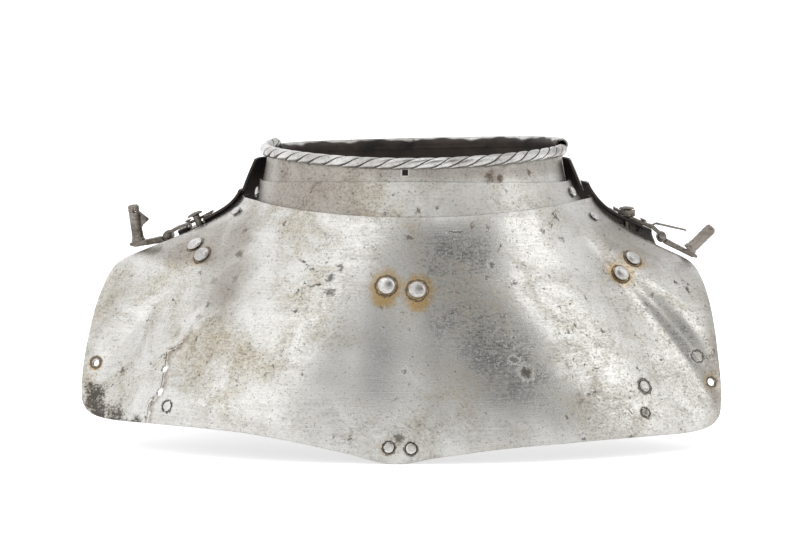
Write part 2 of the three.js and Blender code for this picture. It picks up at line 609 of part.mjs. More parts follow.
// Turning leaf with the post for the shoulder piece
function postLeaf(knuckle, side, { leafEnd, foot: base, top }) {
  const [kx, kz] = knuckle;
  const thick = side < 0 ? leafThick.left : leafThick.right;
  const postLength = side < 0 ? postLengths.left : postLengths.right;
  const along = unit([leafEnd[0] - kx, 0, leafEnd[1] - kz]);
  const up = side > 0 ? [-along[2], 0, along[0]] : [along[2], 0, -along[0]];
  const at = (s, h) => {
    const p = add(add([kx, 0, kz], along, s), up, h);
    return [p[0], p[2]];
  };
  const length = Math.hypot(leafEnd[0] - kx, leafEnd[1] - kz);
  const outline = [at(0.8, -thick * 0.9), at(4, -thick), at(length - 3, -thick * 0.85), at(length, -thick * 0.4),
    at(length - 0.6, 0), at(0, 0.3)];
  let made = prism(outline, strapFront + 0.2, strapBack - 0.2);
  const rest = [[strapFront - 1, strapFront + 3.7], [strapBack - 3.7, strapBack + 1]];
  for (const [a, b] of rest) {
    made = made.subtract(bar([kx, a, kz], [kx, b, kz], knuckleRadius + 0.4, 14));
  }
  made = made.add(bar([kx, strapFront + 3.7, kz], [kx, strapBack - 3.7, kz], knuckleRadius, 14));
  const middleY = (strapFront + strapBack) / 2;
  const foot = [base[0], middleY, base[1]];
  const tip = [top[0], middleY, top[1]];
  const axis = unit(less(tip, foot));
  const collar = [[0, -1.2], [postRadius + 0.5, -1.2], [postRadius + 0.5, 0.6], [postRadius, 1.2]];
  const end = [[postRadius, postLength - 1.2], [postRadius - 1.1, postLength], [0, postLength]];
  const post = turned(foot, axis, [...collar, ...end], 14);
  made = made.add(post);
  return [made.subtract(bar([kx, -6, kz], [kx, 22, kz], pinRadius + 0.35, 12)), foot, axis];
}

let [leftLeaf, leftFoot, leftAxis] = postLeaf(leftKnuckle, -1, postPlaces.left);
let [rightLeaf, rightFoot, rightAxis] = postLeaf(rightKnuckle, 1, postPlaces.right);

// Slot across each post, open on the neck side and the far side
function slotBox(foot, axis, low, high, inward, outward, thick) {
  const across = [axis[2], 0, -axis[0]];
  const corner = (h, s, y) => add(add(add(foot, axis, h), across, s), [0, 1, 0], y);
  const points = [];
  for (const h of [low, high]) {
    for (const s of [inward, outward]) {
      for (const y of [-thick / 2, thick / 2]) points.push(corner(h, s, y));
    }
  }
  return solid(points, boxFaces);
}
leftLeaf = leftLeaf.subtract(slotBox(leftFoot, leftAxis, 4.6, 17.6, -4.4, 4.4, 1.9));
rightLeaf = rightLeaf.subtract(slotBox(rightFoot, rightAxis, 3.4, 14.4, -4.4, -1.4, 1.7));
const catchTop = add(add(leftFoot, leftAxis, 15.6), [leftAxis[2], 0, -leftAxis[0]], 0.6);
const catchPin = (r, more) =>
  bar(add(catchTop, [0, -postRadius - more, 0]), add(catchTop, [0, postRadius + more, 0]), r, 8);
leftLeaf = leftLeaf.subtract(catchPin(0.9, 1));
pieces.leaf_left = leftLeaf;
pieces.leaf_right = rightLeaf;

// Flat spring catch in the left post
const inX = (h, s) => {
  const p = add(add(leftFoot, leftAxis, h), [leftAxis[2], 0, -leftAxis[0]], s);
  return [p[0], p[2]];
};
const catchOutline = [inX(16.6, -0.6), inX(16.9, 1.2), inX(10.4, 7.2), inX(9.6, 7), inX(7.4, 3.6),
  inX(6.4, 3.2), inX(6.2, 0.2), inX(9, -0.9)];
const catchPlate = prism(catchOutline, leftFoot[1] - 0.6, leftFoot[1] + 0.6);
pieces.catch_left = catchPlate.subtract(bar(add(catchTop, [0, -3, 0]), add(catchTop, [0, 3, 0]), 0.9, 8));
pieces.catch_pin_left = catchPin(0.55, 0.1);

// Hinge pins with a domed end towards the front
function hingePin([kx, kz]) {
  const far = strapFront - strapBack;
  const tail = [[0, far - 1.8], [2, far - 1.8], [2, far - 0.35], [pinRadius, far - 0.35]];
  const head = [[pinRadius, 0.35], [2.2, 0.35], [1.9, 1.3], [1, 1.9], [0, 2]];
  return turned([kx, strapFront, kz], [0, -1, 0], [...tail, ...head], 10);
}
pieces.hinge_pin_left = hingePin(leftKnuckle);
pieces.hinge_pin_right = hingePin(rightKnuckle);

// Narrow spring strip behind the right hinge, held by one small rivet
const stripY = [15, 19.5];
const stripLine = [[102, 0], [108, 0], [114, 0], [120, 0]];
const stripLow = stripLine.map(([x]) => [x, Math.max(...stripY.map((y) => backOver(x, y))) + clear + 0.22]);
stripLow[stripLow.length - 1][1] += 0.6;
stripLow.push([126.5, 107.4], [142.6, 103.9]);
const stripHigh = stripLow.slice(0, -1).map(([x, z]) => [x + 0.3, z + 1]).reverse();
pieces.spring_strip_right = prism([...stripLow, [142.4, 104.8], ...stripHigh], ...stripY);
const stripTop = [111, 17.2, (stripLow[1][1] + stripLow[2][1]) / 2 + 1];
const stripAxis = unit([(stripLow[1][1] - stripLow[2][1]) / 6, 0, 1]);
pieces.strip_rivet_right = rivet(stripTop, stripAxis, pieces.spring_strip_right, backPlate,
  { head: 1.9, high: 0.9, shank: 0.9, tail: 1.8, low: 0.6 });
const stripTool = drill(stripTop, stripAxis, 1.3, 5, 12);
pieces.spring_strip_right = pieces.spring_strip_right.subtract(stripTool);
backPlate = backPlate.subtract(stripTool);

pieces.front_plate = frontPlate;
pieces.front_ring_lower = frontLower;
pieces.front_ring_upper = frontUpper;
pieces.back_plate = backPlate;
pieces.back_ring_lower = backLower;
pieces.back_ring_upper = backUpper;

const colours = { plate: 0xb9b8b2, ring: 0xc4c4c0, dark: 0x7a736a, bright: 0xd8d8d6 };
const colourOf = (name) => {
  if (name.includes('plate')) return colours.plate;
  if (name.includes('ring_upper') || name.includes('ring_lower')) return colours.ring;
  if (/strap|leaf|catch|strip|hinge|pivot|stud/.test(name)) return colours.dark;
  return colours.bright;
};
const gorget = new THREE.Group();
for (const [name, piece] of Object.entries(pieces)) {
  const mesh = piece.getMesh();
  const geometry = new THREE.BufferGeometry();
  const corners = new Float32Array(mesh.vertProperties);
  geometry.setAttribute('position', new THREE.BufferAttribute(corners, mesh.numProp));
  geometry.setIndex(new THREE.BufferAttribute(new Uint32Array(mesh.triVerts), 1));
  geometry.translate(aside, 0, 0);
  geometry.scale(overallWidth / tableSpan[0], overallDepth / tableSpan[1], overallHeight / tableSpan[2]);
  const flat = geometry.toNonIndexed();
  flat.computeVertexNormals();
  const node = new THREE.Mesh(flat, new THREE.MeshStandardMaterial({
    color: colourOf(name), metalness: 0.9, roughness: 0.42,
  }));
  node.name = name;
  gorget.add(node);
}
export default gorget;
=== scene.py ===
import json
import math

import bmesh
import bpy
import numpy as np
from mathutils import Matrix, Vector


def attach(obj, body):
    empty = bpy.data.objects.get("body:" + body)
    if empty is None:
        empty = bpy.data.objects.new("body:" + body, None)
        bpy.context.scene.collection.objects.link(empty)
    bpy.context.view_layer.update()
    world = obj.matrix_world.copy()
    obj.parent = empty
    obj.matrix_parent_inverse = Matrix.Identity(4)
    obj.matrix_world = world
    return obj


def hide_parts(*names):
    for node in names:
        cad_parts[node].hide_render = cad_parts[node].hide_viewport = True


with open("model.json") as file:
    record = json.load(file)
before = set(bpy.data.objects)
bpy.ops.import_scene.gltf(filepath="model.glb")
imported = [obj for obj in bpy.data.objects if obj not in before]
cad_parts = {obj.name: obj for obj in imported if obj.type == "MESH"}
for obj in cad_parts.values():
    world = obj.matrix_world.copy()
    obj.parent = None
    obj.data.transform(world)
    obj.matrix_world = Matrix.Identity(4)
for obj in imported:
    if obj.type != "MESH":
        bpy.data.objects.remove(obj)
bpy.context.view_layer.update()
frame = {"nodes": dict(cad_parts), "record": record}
nodes = frame["nodes"]
print("frame loaded:", len(nodes), "nodes")

# shapes of the sheets, in millimetres round the neck, as the solids have them
aside = 4.75  # the neck stands this far to the right of the middle of the plates
wall = 1.2
pivot = [111, 6]  # rivet that both halves turn about
ropeStart, ropeEnd, rollEnd = -107.0, 88.0, 252.5  # degrees round the neck, 0 is the front

# neck angle, edge x, edge y, edge z, start out, start drop, end out, end drop
frontRows = [
    [0, 0, -128, 0, 14, 60, 22, 125], [10, 23, -127.3, 4.2, 14, 60, 22, 123],
    [22, 54, -124, 9.2, 14, 58, 24, 120], [34, 88, -113, 12, 14, 55, 28, 116],
    [46, 122, -94.5, 12.6, 14, 50, 34, 112], [56, 149, -72, 12.4, 14, 45, 40, 110],
    [62, 160.5, -60.5, 16.5, 14, 42, 42, 106], [65.5, 162.8, -54.5, 28, 14, 40, 44, 102],
    [70, 161.6, -46, 46, 14, 38, 46, 92], [77, 158, -29, 69.5, 14, 37, 50, 62],
    [84, 152.5, -13, 85, 14, 36, 52, 36], [90, 145.5, -2, 91.2, 14, 36, 50, 22],
    [95, 131, 1.5, 96.2, 14, 36, 34, 14], [100, 114, 12, 100, 14, 34, 16, 6],
]
backRows = [
    [0, 0, 128, 0, 14, 60, 22, 125], [15, 38, 126, 0, 14, 60, 22, 125],
    [30, 76, 116, 0, 14, 58, 24, 122], [42, 104, 100, 3, 14, 54, 28, 112],
    [52, 122, 83, 11, 14, 50, 34, 104], [60, 131, 66, 28, 14, 46, 36, 92],
    [67, 134.5, 50, 50, 14, 42, 38, 76], [74, 133, 36, 72, 14, 38, 38, 52],
    [80, 128.5, 24, 91, 14, 36, 34, 32], [85, 124.6, 12, 101.8, 14, 36, 32, 18],
    [90, 123.8, 2, 105.2, 14, 35, 30, 13], [93, 119, -3, 107.8, 14, 34, 24, 11],
]
frontNeck = [87, 84.2, 117.6, 123, 4.5]  # half width, half depth, middle height, side height, flare
backNeck = [91.4, 85.4, 126, 128.3, 0]
# share of height, radius and height at the front or back, radius and height at the side
ringRows = {
    "frontUpper": [[0, 75.6, 143.3, 76.2, 147], [0.33, 76.8, 135.5, 77.2, 140],
                   [0.66, 78, 127, 79, 131.2], [1, 79.2, 119, 80.8, 123]],
    "frontLower": [[0, 78.9, 135, 81.1, 131.9], [0.33, 80.4, 126, 82.8, 126],
                   [0.66, 82, 117, 85.3, 120.3], [1, 83.7, 108, 91.6, 109.4]],
    "backUpper": [[0, 75.6, 148.2, 76.6, 149.2], [0.33, 77, 140, 77.6, 140.5],
                  [0.66, 78.4, 131.5, 79.1, 132.5], [1, 79.8, 123, 81.4, 124.5]],
    "backLower": [[0, 79.8, 142.5, 82.5, 142.5], [0.33, 81, 135, 85.6, 135.5],
                  [0.66, 82.2, 127.5, 87.6, 130.5], [1, 83.6, 119.5, 89.2, 126.4]],
}
ringShift = {"frontUpper": [0.2, 0.2, 130], "frontLower": [0.8, 0.2, 131.9],
             "backUpper": [0, 0, 0], "backLower": [-0.5, 0, 0]}


def ramp(x):  # 3x2 - 2x3 between 0 and 1
    x = np.clip(x, 0, 1)
    return x * x * (3 - 2 * x)


def rowAt(rows, u):  # Catmull-Rom through the rows, mirrored at the first one
    rows = np.array(rows, float)
    n = len(rows) - 1
    first = rows[1] * np.where(np.arange(rows.shape[1]) < 2, -1, 1)
    full = np.vstack([first, rows, 2 * rows[n] - rows[n - 1]])
    u = np.clip(u, 0, n)
    k = np.minimum(np.floor(u).astype(int), n - 1)
    f = (u - k)[..., None]
    a, b, c, d = full[k], full[k + 1], full[k + 2], full[k + 3]
    return 0.5 * (2 * b + (c - a) * f + (2 * a - 5 * b + 4 * c - d) * f * f
                  + (3 * b - a - 3 * c + d) * f ** 3)


def plateAt(rows, neck, face, u, t):
    # Hermite curve from the neck edge (t 0) to the outer edge (t 1), with both ends and
    # both slopes taken from the row at u along the outline
    u, t = np.broadcast_arrays(np.asarray(u, float), np.asarray(t, float))
    deg, ex, ey, ez, outA, dropA, outB, dropB = np.moveaxis(rowAt(rows, np.abs(u)), -1, 0)
    a, b, zMiddle, zSide, flare = neck
    s, c = np.sin(np.radians(deg)), np.cos(np.radians(deg))
    sx, sy = (a + flare * ramp((deg - 66) / 24)) * s, face * b * c
    sz = zMiddle + (zSide - zMiddle) * s * s
    flat = np.hypot(ex - sx, ey - sy)
    h0, h1 = 2 * t ** 3 - 3 * t * t + 1, t ** 3 - 2 * t * t + t
    h2, h3 = 3 * t * t - 2 * t ** 3, t ** 3 - t * t
    x = h0 * sx + h1 * s * outA + h2 * ex + h3 * (ex - sx) / flat * outB
    y = h0 * sy + h1 * face * c * outA + h2 * ey + h3 * (ey - sy) / flat * outB
    z = h0 * sz - h1 * dropA + h2 * ez - h3 * dropB
    return np.stack([np.where(u < 0, -x, x), y, z], -1)


def frontAt(u, t):  # a little to the left, and lower on its right, as the worn plates are
    x, y, z = np.moveaxis(plateAt(frontRows, frontNeck, -1, u, t), -1, 0)
    x = x + 1.9 - 6.4 * ramp((123 - z) / 36)
    drop = 3.2 * np.clip(x / 80, -1, 1) * ramp((85 - z) / 60)
    return np.stack([x, y, z - drop * (1 - 0.25 * np.clip(abs(x) / 160, 0, 1))], -1)


def backAt(u, t):
    x, y, z = np.moveaxis(plateAt(backRows, backNeck, 1, u, t), -1, 0)
    z = z + 0.0215 * x * (0.25 + 0.75 * ramp((z - 112) / 16)) * ramp((z - 50) / 55)
    return np.stack([x, y, z], -1)


def tailLift(deg):  # the left tail of the rope climbs to the back rim
    return 2.2 * ramp((-90 - deg) / 18)


def rimTilt(deg):  # the back rim leans a little to the left
    return 0.025 * 77 * np.sin(np.radians(deg)) - 1.9


def ringAt(name, deg, t):
    # radius and height as a cubic through four heights, blended from front to side by
    # the squared cosine, plus a sideways lean
    deg, t = np.broadcast_arrays(np.asarray(deg, float), np.asarray(t, float))
    rows = np.array(ringRows[name], float)
    knots, v = rows[:, 0], 0
    for i in range(4):
        others = [k for k in range(4) if k != i]
        weight = np.prod([(t - knots[k]) / (knots[i] - knots[k]) for k in others], axis=0)
        v = v + weight[..., None] * rows[i]
    w = np.cos(np.radians(deg)) ** 2
    r = w * v[..., 1] + (1 - w) * v[..., 3]
    z = w * v[..., 2] + (1 - w) * v[..., 4]
    if name == "frontUpper":
        z = z + tailLift(deg) * (1 - t)
    if name == "backUpper":
        z = z + rimTilt(deg) * (1 - t)
    offset, slope, below = ringShift[name]
    lean = slope * np.clip(below - z, 0, 13) * (1 - w)
    return np.stack([r * np.sin(np.radians(deg)) + offset + lean, -r * np.cos(np.radians(deg)), z], -1)


def rimAt(deg, back):
    deg = np.asarray(deg, float)
    w = np.cos(np.radians(deg)) ** 2
    r = w * 75.5 + (1 - w) * 77.2
    front, rear = w * 143.8 + (1 - w) * 147.6 + tailLift(deg), w * 148.7 + (1 - w) * 149.9 + rimTilt(deg)
    z = rear if back else front
    return np.stack([r * np.sin(np.radians(deg)), -r * np.cos(np.radians(deg)), z], -1)


def normalAt(at, u, t, uEnds, tEnds):
    e = 1e-3
    along = at(np.minimum(u + 5 * e, uEnds[1]), t) - at(np.maximum(u - 5 * e, uEnds[0]), t)
    down = at(u, np.minimum(t + e, tEnds[1])) - at(u, np.maximum(t - e, tEnds[0]))
    n = np.cross(along, down)
    n /= np.linalg.norm(n, axis=-1, keepdims=True)
    p = at(u, t)
    out = (n[..., 0] * p[..., 0] + n[..., 1] * p[..., 1] + n[..., 2] * 40) < 0
    return np.where(out[..., None], -n, n)


# making meshes
def putMesh(name, points, quads, tris=None, masks=None, sharp=35):
    # points in millimetres round the neck; faces turn outwards when the volume is positive
    tris = np.zeros((0, 3), int) if tris is None else np.asarray(tris)
    fan = np.concatenate([quads[:, [0, 1, 2]], quads[:, [0, 2, 3]], tris])
    a, b, c = points[fan[:, 0]], points[fan[:, 1]], points[fan[:, 2]]
    if np.sum(np.einsum("ij,ij->i", a, np.cross(b, c))) < 0:
        quads, tris = quads[:, ::-1], tris[:, ::-1]
    mesh = bpy.data.meshes.new(name)
    mesh.vertices.add(len(points))
    mesh.vertices.foreach_set("co", ((points + [aside, 0, 0]) / 1000).ravel())
    corners = np.concatenate([quads.ravel(), tris.ravel()])
    starts = np.concatenate([np.arange(len(quads)) * 4, len(quads) * 4 + np.arange(len(tris)) * 3])
    mesh.loops.add(len(corners))
    mesh.loops.foreach_set("vertex_index", corners.astype(np.int32))
    mesh.polygons.add(len(starts))
    mesh.polygons.foreach_set("loop_start", starts.astype(np.int32))
    mesh.update(calc_edges=True)
    mesh.validate()
    for key, values in (masks or {}).items():
        made = mesh.attributes.new(key, "FLOAT", "POINT")
        made.data.foreach_set("value", np.ascontiguousarray(values, np.float32).ravel())
    smooth(mesh, sharp)
    obj = bpy.data.objects.new(name, mesh)
    bpy.context.scene.collection.objects.link(obj)
    return obj


def smooth(mesh, sharp):
    mesh.polygons.foreach_set("use_smooth", np.ones(len(mesh.polygons), bool))
    mesh.set_sharp_from_angle(angle=math.radians(sharp))


def gridFaces(n, m, closed):  # quads of an n by m grid, closed across m or not
    i, j = np.meshgrid(np.arange(n - 1), np.arange(m if closed else m - 1), indexing="ij")
    k = (j + 1) % m
    return np.stack([i * m + j, i * m + k, (i + 1) * m + k, (i + 1) * m + j], -1).reshape(-1, 4)


def sheetMesh(name, at, us, ts, wave=None, masks=None, thick=wall, paintedShadeEdges=False):
    # a loop round the sheet's section for each u: outer face, rounded edge, inner face, edge
    us, ts = np.asarray(us, float), np.asarray(ts, float)
    U, T = np.meshgrid(us, ts, indexing="ij")
    P = at(U, T)
    N = normalAt(at, U, T, (us[0], us[-1]), (ts[0], ts[-1]))
    lift = np.zeros(U.shape) if wave is None else wave(P, T)
    outer = P + N * lift[..., None]
    inner = outer - N * thick
    low = outer[:, -1] - outer[:, -2]
    top = outer[:, 0] - outer[:, 1]
    low, top = [v / np.linalg.norm(v, axis=-1, keepdims=True) * 0.22 for v in (low, top)]
    endLow = (outer[:, -1] + inner[:, -1]) / 2 + low
    endTop = (outer[:, 0] + inner[:, 0]) / 2 + top
    loop = np.concatenate([outer, endLow[:, None], inner[:, ::-1], endTop[:, None]], 1)
    n, m = len(us), len(ts)
    width = 2 * m + 2
    caps = []
    for row in (0, n - 1):
        j = np.arange(m - 1)
        caps.append(np.stack([j, j + 1, 2 * m - j - 1, 2 * m - j], -1) + row * width)
    # the end faces close the loop: one turned against the other
    caps[1] = caps[1][:, ::-1]
    ends = np.array([[m - 1, m, m + 1], [2 * m, 2 * m + 1, 0]])
    ends = np.concatenate([ends, ends[:, ::-1] + (n - 1) * width])
    quads = np.concatenate([gridFaces(n, width, True)[:, ::-1], *caps])
    found = {"inside": np.concatenate([np.zeros((n, m)), np.full((n, 1), 0.4), np.ones((n, m)),
                                       np.full((n, 1), 0.4)], 1)}
    # painted shade: the rounded edges and both end rows take the full inside colour, so the gap where the
    # back sheets meet the front ones reads dark
    if paintedShadeEdges:
        found["inside"][:, [m, -1]] = 1
        found["inside"][[0, -1]] = 1
    for key, make in (masks or {}).items():
        found[key] = make(loop)
    return putMesh(name, loop.reshape(-1, 3), quads, ends, found)


def rodMesh(name, path, us, section, sides, masks=None, hollow=0.0):
    # a section given as radius over station and angle, carried along a path round the neck
    us = np.asarray(us, float)
    P = path(us)
    out = np.stack([P[:, 0], P[:, 1], P[:, 0] * 0], -1)
    out /= np.linalg.norm(out, axis=-1, keepdims=True)
    ang = np.linspace(0, 2 * np.pi, sides, endpoint=False)
    R = section(us[:, None], ang[None])
    ring = P[:, None] + out[:, None] * (R * np.cos(ang))[..., None]
    ring[..., 2] += R * np.sin(ang)
    n = len(us)
    points = ring.reshape(-1, 3)
    quads = gridFaces(n, sides, True)
    j = np.arange(sides)
    k = (j + 1) % sides
    found = {"inside": np.zeros((n, sides))}
    if masks:
        for key, make in masks.items():
            found[key] = make(us[:, None], ang[None])
    if hollow:  # an inner wall, joined to the outer one at both ends
        bore = P[:, None] + out[:, None] * (hollow * np.cos(ang))[..., None]
        bore[..., 2] += hollow * np.sin(ang)
        points = np.concatenate([points, bore.reshape(-1, 3)])
        add = n * sides
        more = [quads[:, ::-1] + add, np.stack([k, j, j + add, k + add], -1),
                np.stack([j, k, k + add, j + add], -1) + (n - 1) * sides]
        quads = np.concatenate([quads, *more])
        found = {key: np.concatenate([np.broadcast_to(v, (n, sides)), np.ones((n, sides))])
                 for key, v in found.items()}
        return putMesh(name, points, quads, None, found)
    points = np.concatenate([points, P[:1], P[-1:]])
    tris = np.concatenate([np.stack([k, j, np.full(sides, n * sides)], -1),
                           np.stack([j + (n - 1) * sides, k + (n - 1) * sides,
                                     np.full(sides, n * sides + 1)], -1)])
    found = {key: np.append(np.broadcast_to(v, (n, sides)).ravel(), [0, 0]) for key, v in found.items()}
    return putMesh(name, points, quads, tris, found)


def turnedMesh(name, place, axis, profile, sides=40, uneven=0.0, phase=0.0):
    # a profile of radius and height turned round an axis, with its radius a little uneven
    place, w = np.asarray(place, float), np.asarray(axis, float) / np.linalg.norm(axis)
    across = np.cross(w, [0, 1, 0] if abs(w[1]) < 0.9 else [1, 0, 0])
    across /= np.linalg.norm(across)
    other = np.cross(w, across)
    profile = np.array(profile, float)
    ang = np.linspace(0, 2 * np.pi, sides, endpoint=False)
    ripple = 1 + uneven * (np.sin(2 * ang + phase) + 0.6 * np.sin(3 * ang + 2.1 * phase + 1))
    r, h = profile[1:-1, 0][:, None] * ripple, profile[1:-1, 1]
    ring = place + across * (r * np.cos(ang))[..., None] + other * (r * np.sin(ang))[..., None]
    ring = ring + w * h[:, None, None]
    n = len(h)
    points = np.concatenate([ring.reshape(-1, 3), [place + w * profile[0, 1], place + w * profile[-1, 1]]])
    j = np.arange(sides)
    k = (j + 1) % sides
    tris = np.concatenate([np.stack([k, j, np.full(sides, n * sides)], -1),
                           np.stack([j + (n - 1) * sides, k + (n - 1) * sides,
                                     np.full(sides, n * sides + 1)], -1)])
    return putMesh(name, points, gridFaces(n, sides, True), tris, None, 50)


boxFaces = np.array([[0, 3, 2, 1], [4, 5, 6, 7], [0, 1, 5, 4], [1, 2, 6, 5], [2, 3, 7, 6], [3, 0, 4, 7]])


def boxTool(name, x, y, z):  # a closed box between two values along each axis
    corners = [[a, b, c] for c in z for a, b in ((x[0], y[0]), (x[1], y[0]), (x[1], y[1]), (x[0], y[1]))]
    return putMesh(name, np.array(corners, float), boxFaces)


def keepOnly(obj, cutter):  # what a closed piece shares with the cutter
    carve(obj, cutter, "INTERSECT")


def carve(obj, cutter, way="DIFFERENCE"):  # takes the cutter's volume out of a closed piece
    cut = obj.modifiers.new("cut", "BOOLEAN")
    cut.operation, cut.solver, cut.object = way, "MANIFOLD", cutter
    shape = obj.evaluated_get(bpy.context.evaluated_depsgraph_get())
    mesh = bpy.data.meshes.new_from_object(shape)
    obj.modifiers.remove(cut)
    obj.data = mesh
    bpy.data.objects.remove(cutter)


def drills(name, rows, sides=28):  # closed cylinders along axes: place, axis, radius, down, up
    ang = np.linspace(0, 2 * np.pi, sides, endpoint=False)
    points, quads, tris = [], [], []
    j = np.arange(sides)
    k = (j + 1) % sides
    for place, axis, r, down, up in rows:
        w = np.asarray(axis, float) / np.linalg.norm(axis)
        across = np.cross(w, [0, 1, 0] if abs(w[1]) < 0.9 else [1, 0, 0])
        across /= np.linalg.norm(across)
        other = np.cross(w, across)
        add = sum(len(p) for p in points)
        ring = across * (r * np.cos(ang))[:, None] + other * (r * np.sin(ang))[:, None]
        points.append(np.concatenate([place + ring - w * down, place + ring + w * up,
                                      [place - w * down, place + w * up]]))
        quads.append(np.stack([j, k, k + sides, j + sides], -1) + add)
        ends = [np.stack([k, j, np.full(sides, 2 * sides)], -1),
                np.stack([j + sides, k + sides, np.full(sides, 2 * sides + 1)], -1)]
        tris.append(np.concatenate(ends) + add)
    return putMesh(name, np.concatenate(points), np.concatenate(quads), np.concatenate(tris))


def onPlate(at, u, t, end):
    u, t = np.array(float(u)), np.array(float(t))
    return at(u, t), normalAt(at, u, t, (-end, end), (0, 1))


def onRing(name, deg, t):
    at = lambda a, b: ringAt(name, a, b)
    return at(deg, t), normalAt(at, np.array(float(deg)), np.array(float(t)), (-360, 360), (0, 1))


def nodePoints(name):  # a node's corners in millimetres round the neck
    mesh = nodes[name].data
    found = np.empty(len(mesh.vertices) * 3)
    mesh.vertices.foreach_get("co", found)
    return found.reshape(-1, 3) * 1000 - [aside, 0, 0]


def nearLine(points, rows, width):  # 1 on a line through the rows, 0 at a width away from it
    rows = np.array(rows, float)
    best = np.full(points.shape[:-1], 1e9)
    for a, b in zip(rows[:-1], rows[1:]):
        s = np.clip(((points - a) @ (b - a)) / ((b - a) @ (b - a)), 0, 1)
        best = np.minimum(best, np.linalg.norm(points - a - s[..., None] * (b - a), axis=-1))
    return np.clip(1 - best / width, 0, 1)


def nearSpots(points, rows):  # rows of x, y, z, width: 1 in the middle of a spot, 0 at its width
    best = np.zeros(points.shape[:-1])
    for x, y, z, width in rows:
        d = np.linalg.norm(points - [x - aside, y, z], axis=-1)
        best = np.maximum(best, np.clip(1 - d / width, 0, 1))
    return best


# camera, floor and lights
camera = {"azimuth": 2.5, "elevation": 5.0, "distance": 1.8, "target": (0.00475, 0, 0.08),
          "lens": 154.9, "shiftX": -0.0172, "shiftY": 0.0138}
# the room is bright, but for a dim gap between the two soft walls, given as azimuths in degrees
# azimuths where the gap begins and ends, and heights (as the upward share of a direction) where it does
stage = {"glow": 0.58, "room": 1.42, "gap": 0.10, "back": 1.0, "side": 40,
         "gapFrom": (-30, 14), "gapTo": (56, 63), "gapLow": (0.42, 0.60), "gapHigh": (0.90, 0.99),
         "dimSide": (88, 125), "dimShare": 0.42}
lights = [
    # name, azimuth, elevation, distance, width, height, power
    ["softLeft", -44, 34, 1.7, 1.2, 1.0, 0.8],
    ["softRight", 76, 38, 1.6, 0.8, 1.0, 1.4],
    ["softTop", 10, 84, 1.6, 1.8, 1.8, 4],
]


def around(azimuth, elevation, distance, target):
    a, e = math.radians(azimuth), math.radians(elevation)
    way = Vector((math.sin(a) * math.cos(e), -math.cos(a) * math.cos(e), math.sin(e)))
    return Vector(target) + way * distance, way


def makeStage():
    place, way = around(camera["azimuth"], camera["elevation"], camera["distance"], camera["target"])
    view = bpy.data.cameras.new("camera")
    view.lens, view.sensor_width = camera["lens"], 36
    view.shift_x, view.shift_y = camera["shiftX"], camera["shiftY"]
    view.clip_start, view.clip_end = 0.05, 90
    bpy.context.scene.view_settings.view_transform = "Standard"
    holder = bpy.data.objects.new("camera", view)
    holder.location = place
    holder.rotation_euler = (-way).to_track_quat("-Z", "Y").to_euler()
    bpy.context.scene.collection.objects.link(holder)
    bpy.context.scene.camera = holder
    for name, azimuth, elevation, distance, width, height, power in lights:
        lamp = bpy.data.lights.new(name, "AREA")
        lamp.shape, lamp.size, lamp.size_y, lamp.energy = "RECTANGLE", width, height, power
        place, way = around(azimuth, elevation, distance, (0, 0, 0.08))
        stand = bpy.data.objects.new(name, lamp)
        stand.location = place
        stand.rotation_euler = (-way).to_track_quat("-Z", "Y").to_euler()
        bpy.context.scene.collection.objects.link(stand)
    mesh = bpy.data.meshes.new("floor")
    side = stage["side"]
    corners = [(-side, -side, 0), (side, -side, 0), (side, side, 0), (-side, side, 0)]
    mesh.from_pydata(corners, [], [(0, 1, 2, 3)])
    floor = bpy.data.objects.new("floor", mesh)
    floor.location.z = -0.0002
    bpy.context.scene.collection.objects.link(floor)
    paint = Finish("floorPaper")
    paint.out(base=(0.78, 0.78, 0.78, 1), rough=0.9, glow=stage["glow"])
    mesh.materials.append(paint.material)
    world = bpy.data.worlds.new("studio")
    bpy.context.scene.world = world
    world.use_nodes = True
    tree = world.node_tree
    f = Finish("studio", tree, "Generated")
    x, y, z = [f.node("SeparateXYZ", None, {0: f.place}, out=i) for i in range(3)]
    turn = x.calc("ARCTAN2", x, y * -1.0) * (180 / math.pi)
    gap = f.step(turn, *stage["gapFrom"]) * (1 - f.step(turn, *stage["gapTo"]))
    gap = gap * (1 - f.step(z, *stage["gapHigh"])) * (f.step(z, *stage["gapLow"]) * 0.75 + 0.25)
    dimmer = f.step(turn, *stage["dimSide"]) * stage["dimShare"]
    light = stage["room"] - gap * (stage["room"] - stage["gap"]) - dimmer
    grey = f.node("CombineColor", None, {0: light, 1: light, 2: light * 1.01})
    seen = f.node("LightPath", out="Is Camera Ray")
    mixed = f.blend(seen, grey, (stage["back"],) * 3 + (1,))
    tree.links.new(mixed.socket, tree.nodes["Background"].inputs[0])


# finishes
class Wire:  # a socket that can be used in sums, with numbers or other sockets on either side
    def __init__(self, tree, socket):
        self.tree, self.socket = tree, socket

    def calc(self, operation, *values, clamp=False):
        node = self.tree.nodes.new("ShaderNodeMath")
        node.operation, node.use_clamp = operation, clamp
        for i, value in enumerate(values):
            if isinstance(value, Wire):
                self.tree.links.new(value.socket, node.inputs[i])
            else:
                node.inputs[i].default_value = value
        return Wire(self.tree, node.outputs[0])

    def __add__(self, other): return self.calc("ADD", self, other)
    def __radd__(self, other): return self.calc("ADD", other, self)
    def __sub__(self, other): return self.calc("SUBTRACT", self, other)
    def __rsub__(self, other): return self.calc("SUBTRACT", other, self)
    def __mul__(self, other): return self.calc("MULTIPLY", self, other)
    def __rmul__(self, other): return self.calc("MULTIPLY", other, self)
    def most(self, other): return self.calc("MAXIMUM", self, other)
    def part(self): return self.calc("ADD", self, 0.0, clamp=True)


